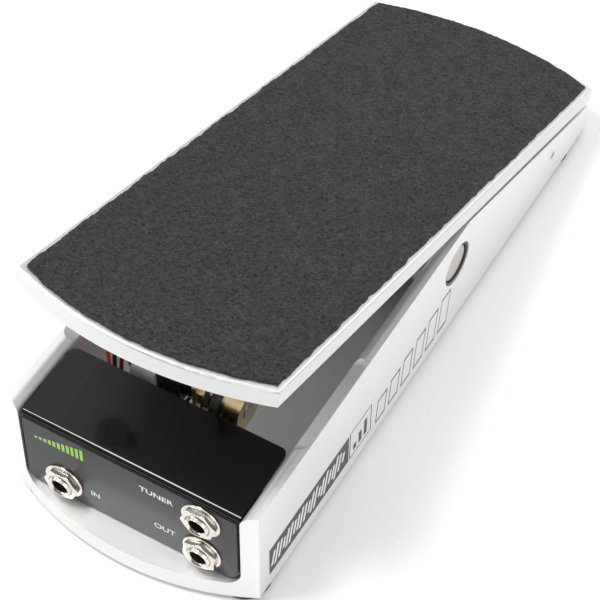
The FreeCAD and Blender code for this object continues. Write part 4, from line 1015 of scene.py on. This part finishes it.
WIRES = {
    # the same routes as the frame's tubes, in the base frame
    "wire_orange": ("orange", [(-12.9, 51.0, 24.0), (-17.0, 54.5, 14.5), (-33.0, 53.5, 15.5),
                               (-41.0, 51.5, 28.0), (-40.5, 51.0, 43.0), (-37.9, 41.5, 43.0),
                               (-37.2, 41.0, 26.5), (-28.6, 30.3, 22.1)]),
    "wire_brown": ("brown", [(-10.0, 51.0, 24.0), (-14.0, 51.4, 12.6), (-29.5, 49.8, 13.2),
                             (-36.5, 50.5, 25.0), (-36.6, 50.0, 41.3), (-34.6, 41.2, 41.3),
                             (-34.2, 40.2, 23.0), (-28.0, 30.3, 18.0)]),
    "wire_red": ("red", [(-7.1, 51.0, 24.0), (-10.0, 49.0, 11.2), (-24.5, 46.5, 11.2),
                         (-31.6, 50.0, 19.0), (-32.8, 49.5, 39.6), (-31.6, 41.0, 39.6),
                         (-31.2, 39.4, 18.5), (-28.4, 30.3, 14.1)]),
}


def smooth_route(route):
    """A smooth line through a route's neighbourhood: its points steer a NURBS spline."""
    curve = bpy.data.curves.new("route", "CURVE")
    curve.dimensions = "3D"
    curve.resolution_u = 12
    spline = curve.splines.new("NURBS")
    spline.points.add(len(route) - 1)
    places = np.concatenate([seated(route), np.ones((len(route), 1))], axis=1)
    spline.points.foreach_set("co", places.ravel())
    spline.order_u = 3
    spline.use_endpoint_u = True
    holder = bpy.data.objects.new("route", curve)
    mesh = bpy.data.meshes.new_from_object(holder)
    points = np.empty(len(mesh.vertices) * 3, np.float32)
    mesh.vertices.foreach_get("co", points)
    bpy.data.objects.remove(holder)
    bpy.data.meshes.remove(mesh)
    bpy.data.curves.remove(curve)
    return points.reshape(-1, 3).astype(float)


class PEDAL_OT_wires(bpy.types.Operator):
    """Lay the three insulated wires from the potentiometer to the input socket"""
    bl_idname = "pedal.wires"
    bl_label = "Wires"

    def execute(self, context):
        for node, (finish, route) in WIRES.items():
            points, faces, uv = carried(smooth_route(route), 0.8 * MM, 16)
            piece = outward(make_piece(node + "_lead", points, faces, uv=uv))
            settle(piece, finish, "base", (node,))
        return {"FINISHED"}


# ---------------------------------------------------------------- studio

CAMERA_TARGET = (4.2, 102.5, 30.0)
CAMERA_AZIMUTH = math.radians(30.10)
CAMERA_ELEVATION = math.radians(51.19)
CAMERA_ROLL = math.radians(0.40)
CAMERA_DISTANCE = 805.6
CAMERA_LENS = 130.0
CAMERA_SHIFT = (0.0107, -0.0075)

# sky brightness: (from, to) of the direction's part, and the brightness it adds at each
SKY_HEIGHT = (0.15, 0.95, 0.10, 0.75)
SKY_BEHIND = (-0.8, 0.6, 0.0, 0.30)

LIGHTS = {
    # name: place relative to the pedal, size and power, in metres and watts
    "key": ((-0.5, -0.4, 1.45), 0.4, 12.0),
    "low": ((-1.3, -0.9, 0.7), 0.9, 8.0),
    "fill": ((1.5, -0.7, 0.8), 1.2, 9.0),
    "back": ((0.3, 1.5, 1.1), 1.2, 9.0),
}


class PEDAL_OT_studio(bpy.types.Operator):
    """Set the pale floor, the soft lights, the sky and the camera"""
    bl_idname = "pedal.studio"
    bl_label = "Studio"

    def execute(self, context):
        floor_points = np.array([(-4, -4, 0), (4, -4, 0), (4, 4, 0), (-4, 4, 0)], float)
        floor = make_piece("studio_floor", floor_points, [[0, 1, 2, 3]], smooth=False)
        floor.data.materials.append(finish_named("paper"))

        world = bpy.data.worlds.new("studio_sky")
        world.use_nodes = True
        self.shade_sky(world.node_tree)
        context.scene.world = world

        for name, (place, size, power) in LIGHTS.items():
            lamp = bpy.data.lights.new("studio_" + name, "AREA")
            lamp.size = size
            lamp.energy = power
            holder = bpy.data.objects.new("studio_" + name, lamp)
            holder.location = place
            aim = Vector((0, 0, 0.04)) - Vector(place)
            holder.rotation_euler = aim.to_track_quat("-Z", "Y").to_euler()
            context.scene.collection.objects.link(holder)

        self.add_camera(context)
        context.scene.view_settings.view_transform = "Standard"
        return {"FINISHED"}

    def shade_sky(self, tree):
        """Bright overhead and behind, darker low in front: brightness grows with height
        and with the way towards the heel."""
        direction = tree.nodes.new("ShaderNodeTexCoord").outputs["Generated"]
        parts = tree.nodes.new("ShaderNodeSeparateXYZ")
        tree.links.new(direction, parts.inputs[0])
        height = tree.nodes.new("ShaderNodeMapRange")
        behind = tree.nodes.new("ShaderNodeMapRange")
        for node, part, span in ((height, "Z", SKY_HEIGHT), (behind, "Y", SKY_BEHIND)):
            tree.links.new(parts.outputs[part], node.inputs["Value"])
            for name, value in zip(("From Min", "From Max", "To Min", "To Max"), span):
                node.inputs[name].default_value = value
        total = tree.nodes.new("ShaderNodeMath")
        total.operation = "ADD"
        tree.links.new(height.outputs[0], total.inputs[0])
        tree.links.new(behind.outputs[0], total.inputs[1])
        sky = tree.nodes["Background"]
        sky.inputs["Color"].default_value = (0.98, 0.99, 1.0, 1)
        tree.links.new(total.outputs[0], sky.inputs["Strength"])

    def add_camera(self, context):
        """Place the camera on a line from its target, turned by azimuth, elevation and roll."""
        level = math.cos(CAMERA_ELEVATION)
        back = Vector((math.sin(CAMERA_AZIMUTH) * level, -math.cos(CAMERA_AZIMUTH) * level,
                       math.sin(CAMERA_ELEVATION)))
        side = (-back).cross(Vector((0, 0, 1))).normalized()
        above = side.cross(-back)
        right = side * math.cos(CAMERA_ROLL) + above * math.sin(CAMERA_ROLL)
        top = above * math.cos(CAMERA_ROLL) - side * math.sin(CAMERA_ROLL)
        place = Vector(seated([CAMERA_TARGET])[0]) + back * CAMERA_DISTANCE * MM
        camera = bpy.data.cameras.new("studio_camera")
        camera.lens = CAMERA_LENS
        camera.sensor_width = 36.0
        camera.shift_x, camera.shift_y = CAMERA_SHIFT
        holder = bpy.data.objects.new("studio_camera", camera)
        turn = Matrix((right, top, back)).transposed().to_4x4()
        holder.matrix_world = Matrix.Translation(place) @ turn
        context.scene.collection.objects.link(holder)
        context.scene.camera = holder


# ---------------------------------------------------------------- panel, registration and main

STEPS = (PEDAL_OT_studio, PEDAL_OT_node_finishes, PEDAL_OT_grip_sheet, PEDAL_OT_sockets,
         PEDAL_OT_panel_print, PEDAL_OT_side_print, PEDAL_OT_drive_cord,
         PEDAL_OT_tension_spring, PEDAL_OT_wires)


class PEDAL_PT_builder(bpy.types.Panel):
    """Sidebar list of the pedal's sizes, colours and building steps"""
    bl_label = "Volume Pedal"
    bl_idname = "PEDAL_PT_builder"
    bl_space_type = "VIEW_3D"
    bl_region_type = "UI"
    bl_category = "Pedal"

    def draw(self, context):
        for settings in (context.scene.pedal_sizes, context.scene.pedal_colours):
            box = self.layout.box()
            for name in settings.__annotations__:
                box.prop(settings, name)
        for step in STEPS:
            self.layout.operator(step.bl_idname)


CLASSES = (PedalSizes, PedalColours) + STEPS + (PEDAL_PT_builder,)


def register():
    for item in CLASSES:
        bpy.utils.register_class(item)
    bpy.types.Scene.pedal_sizes = bpy.props.PointerProperty(type=PedalSizes)
    bpy.types.Scene.pedal_colours = bpy.props.PointerProperty(type=PedalColours)


def unregister():
    del bpy.types.Scene.pedal_colours
    del bpy.types.Scene.pedal_sizes
    for item in reversed(CLASSES):
        bpy.utils.unregister_class(item)


def main():
    """Register the add-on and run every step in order."""
    register()
    for step in STEPS:
        group, action = step.bl_idname.split(".")
        getattr(getattr(bpy.ops, group), action)()


if __name__ == "__main__":
    main()
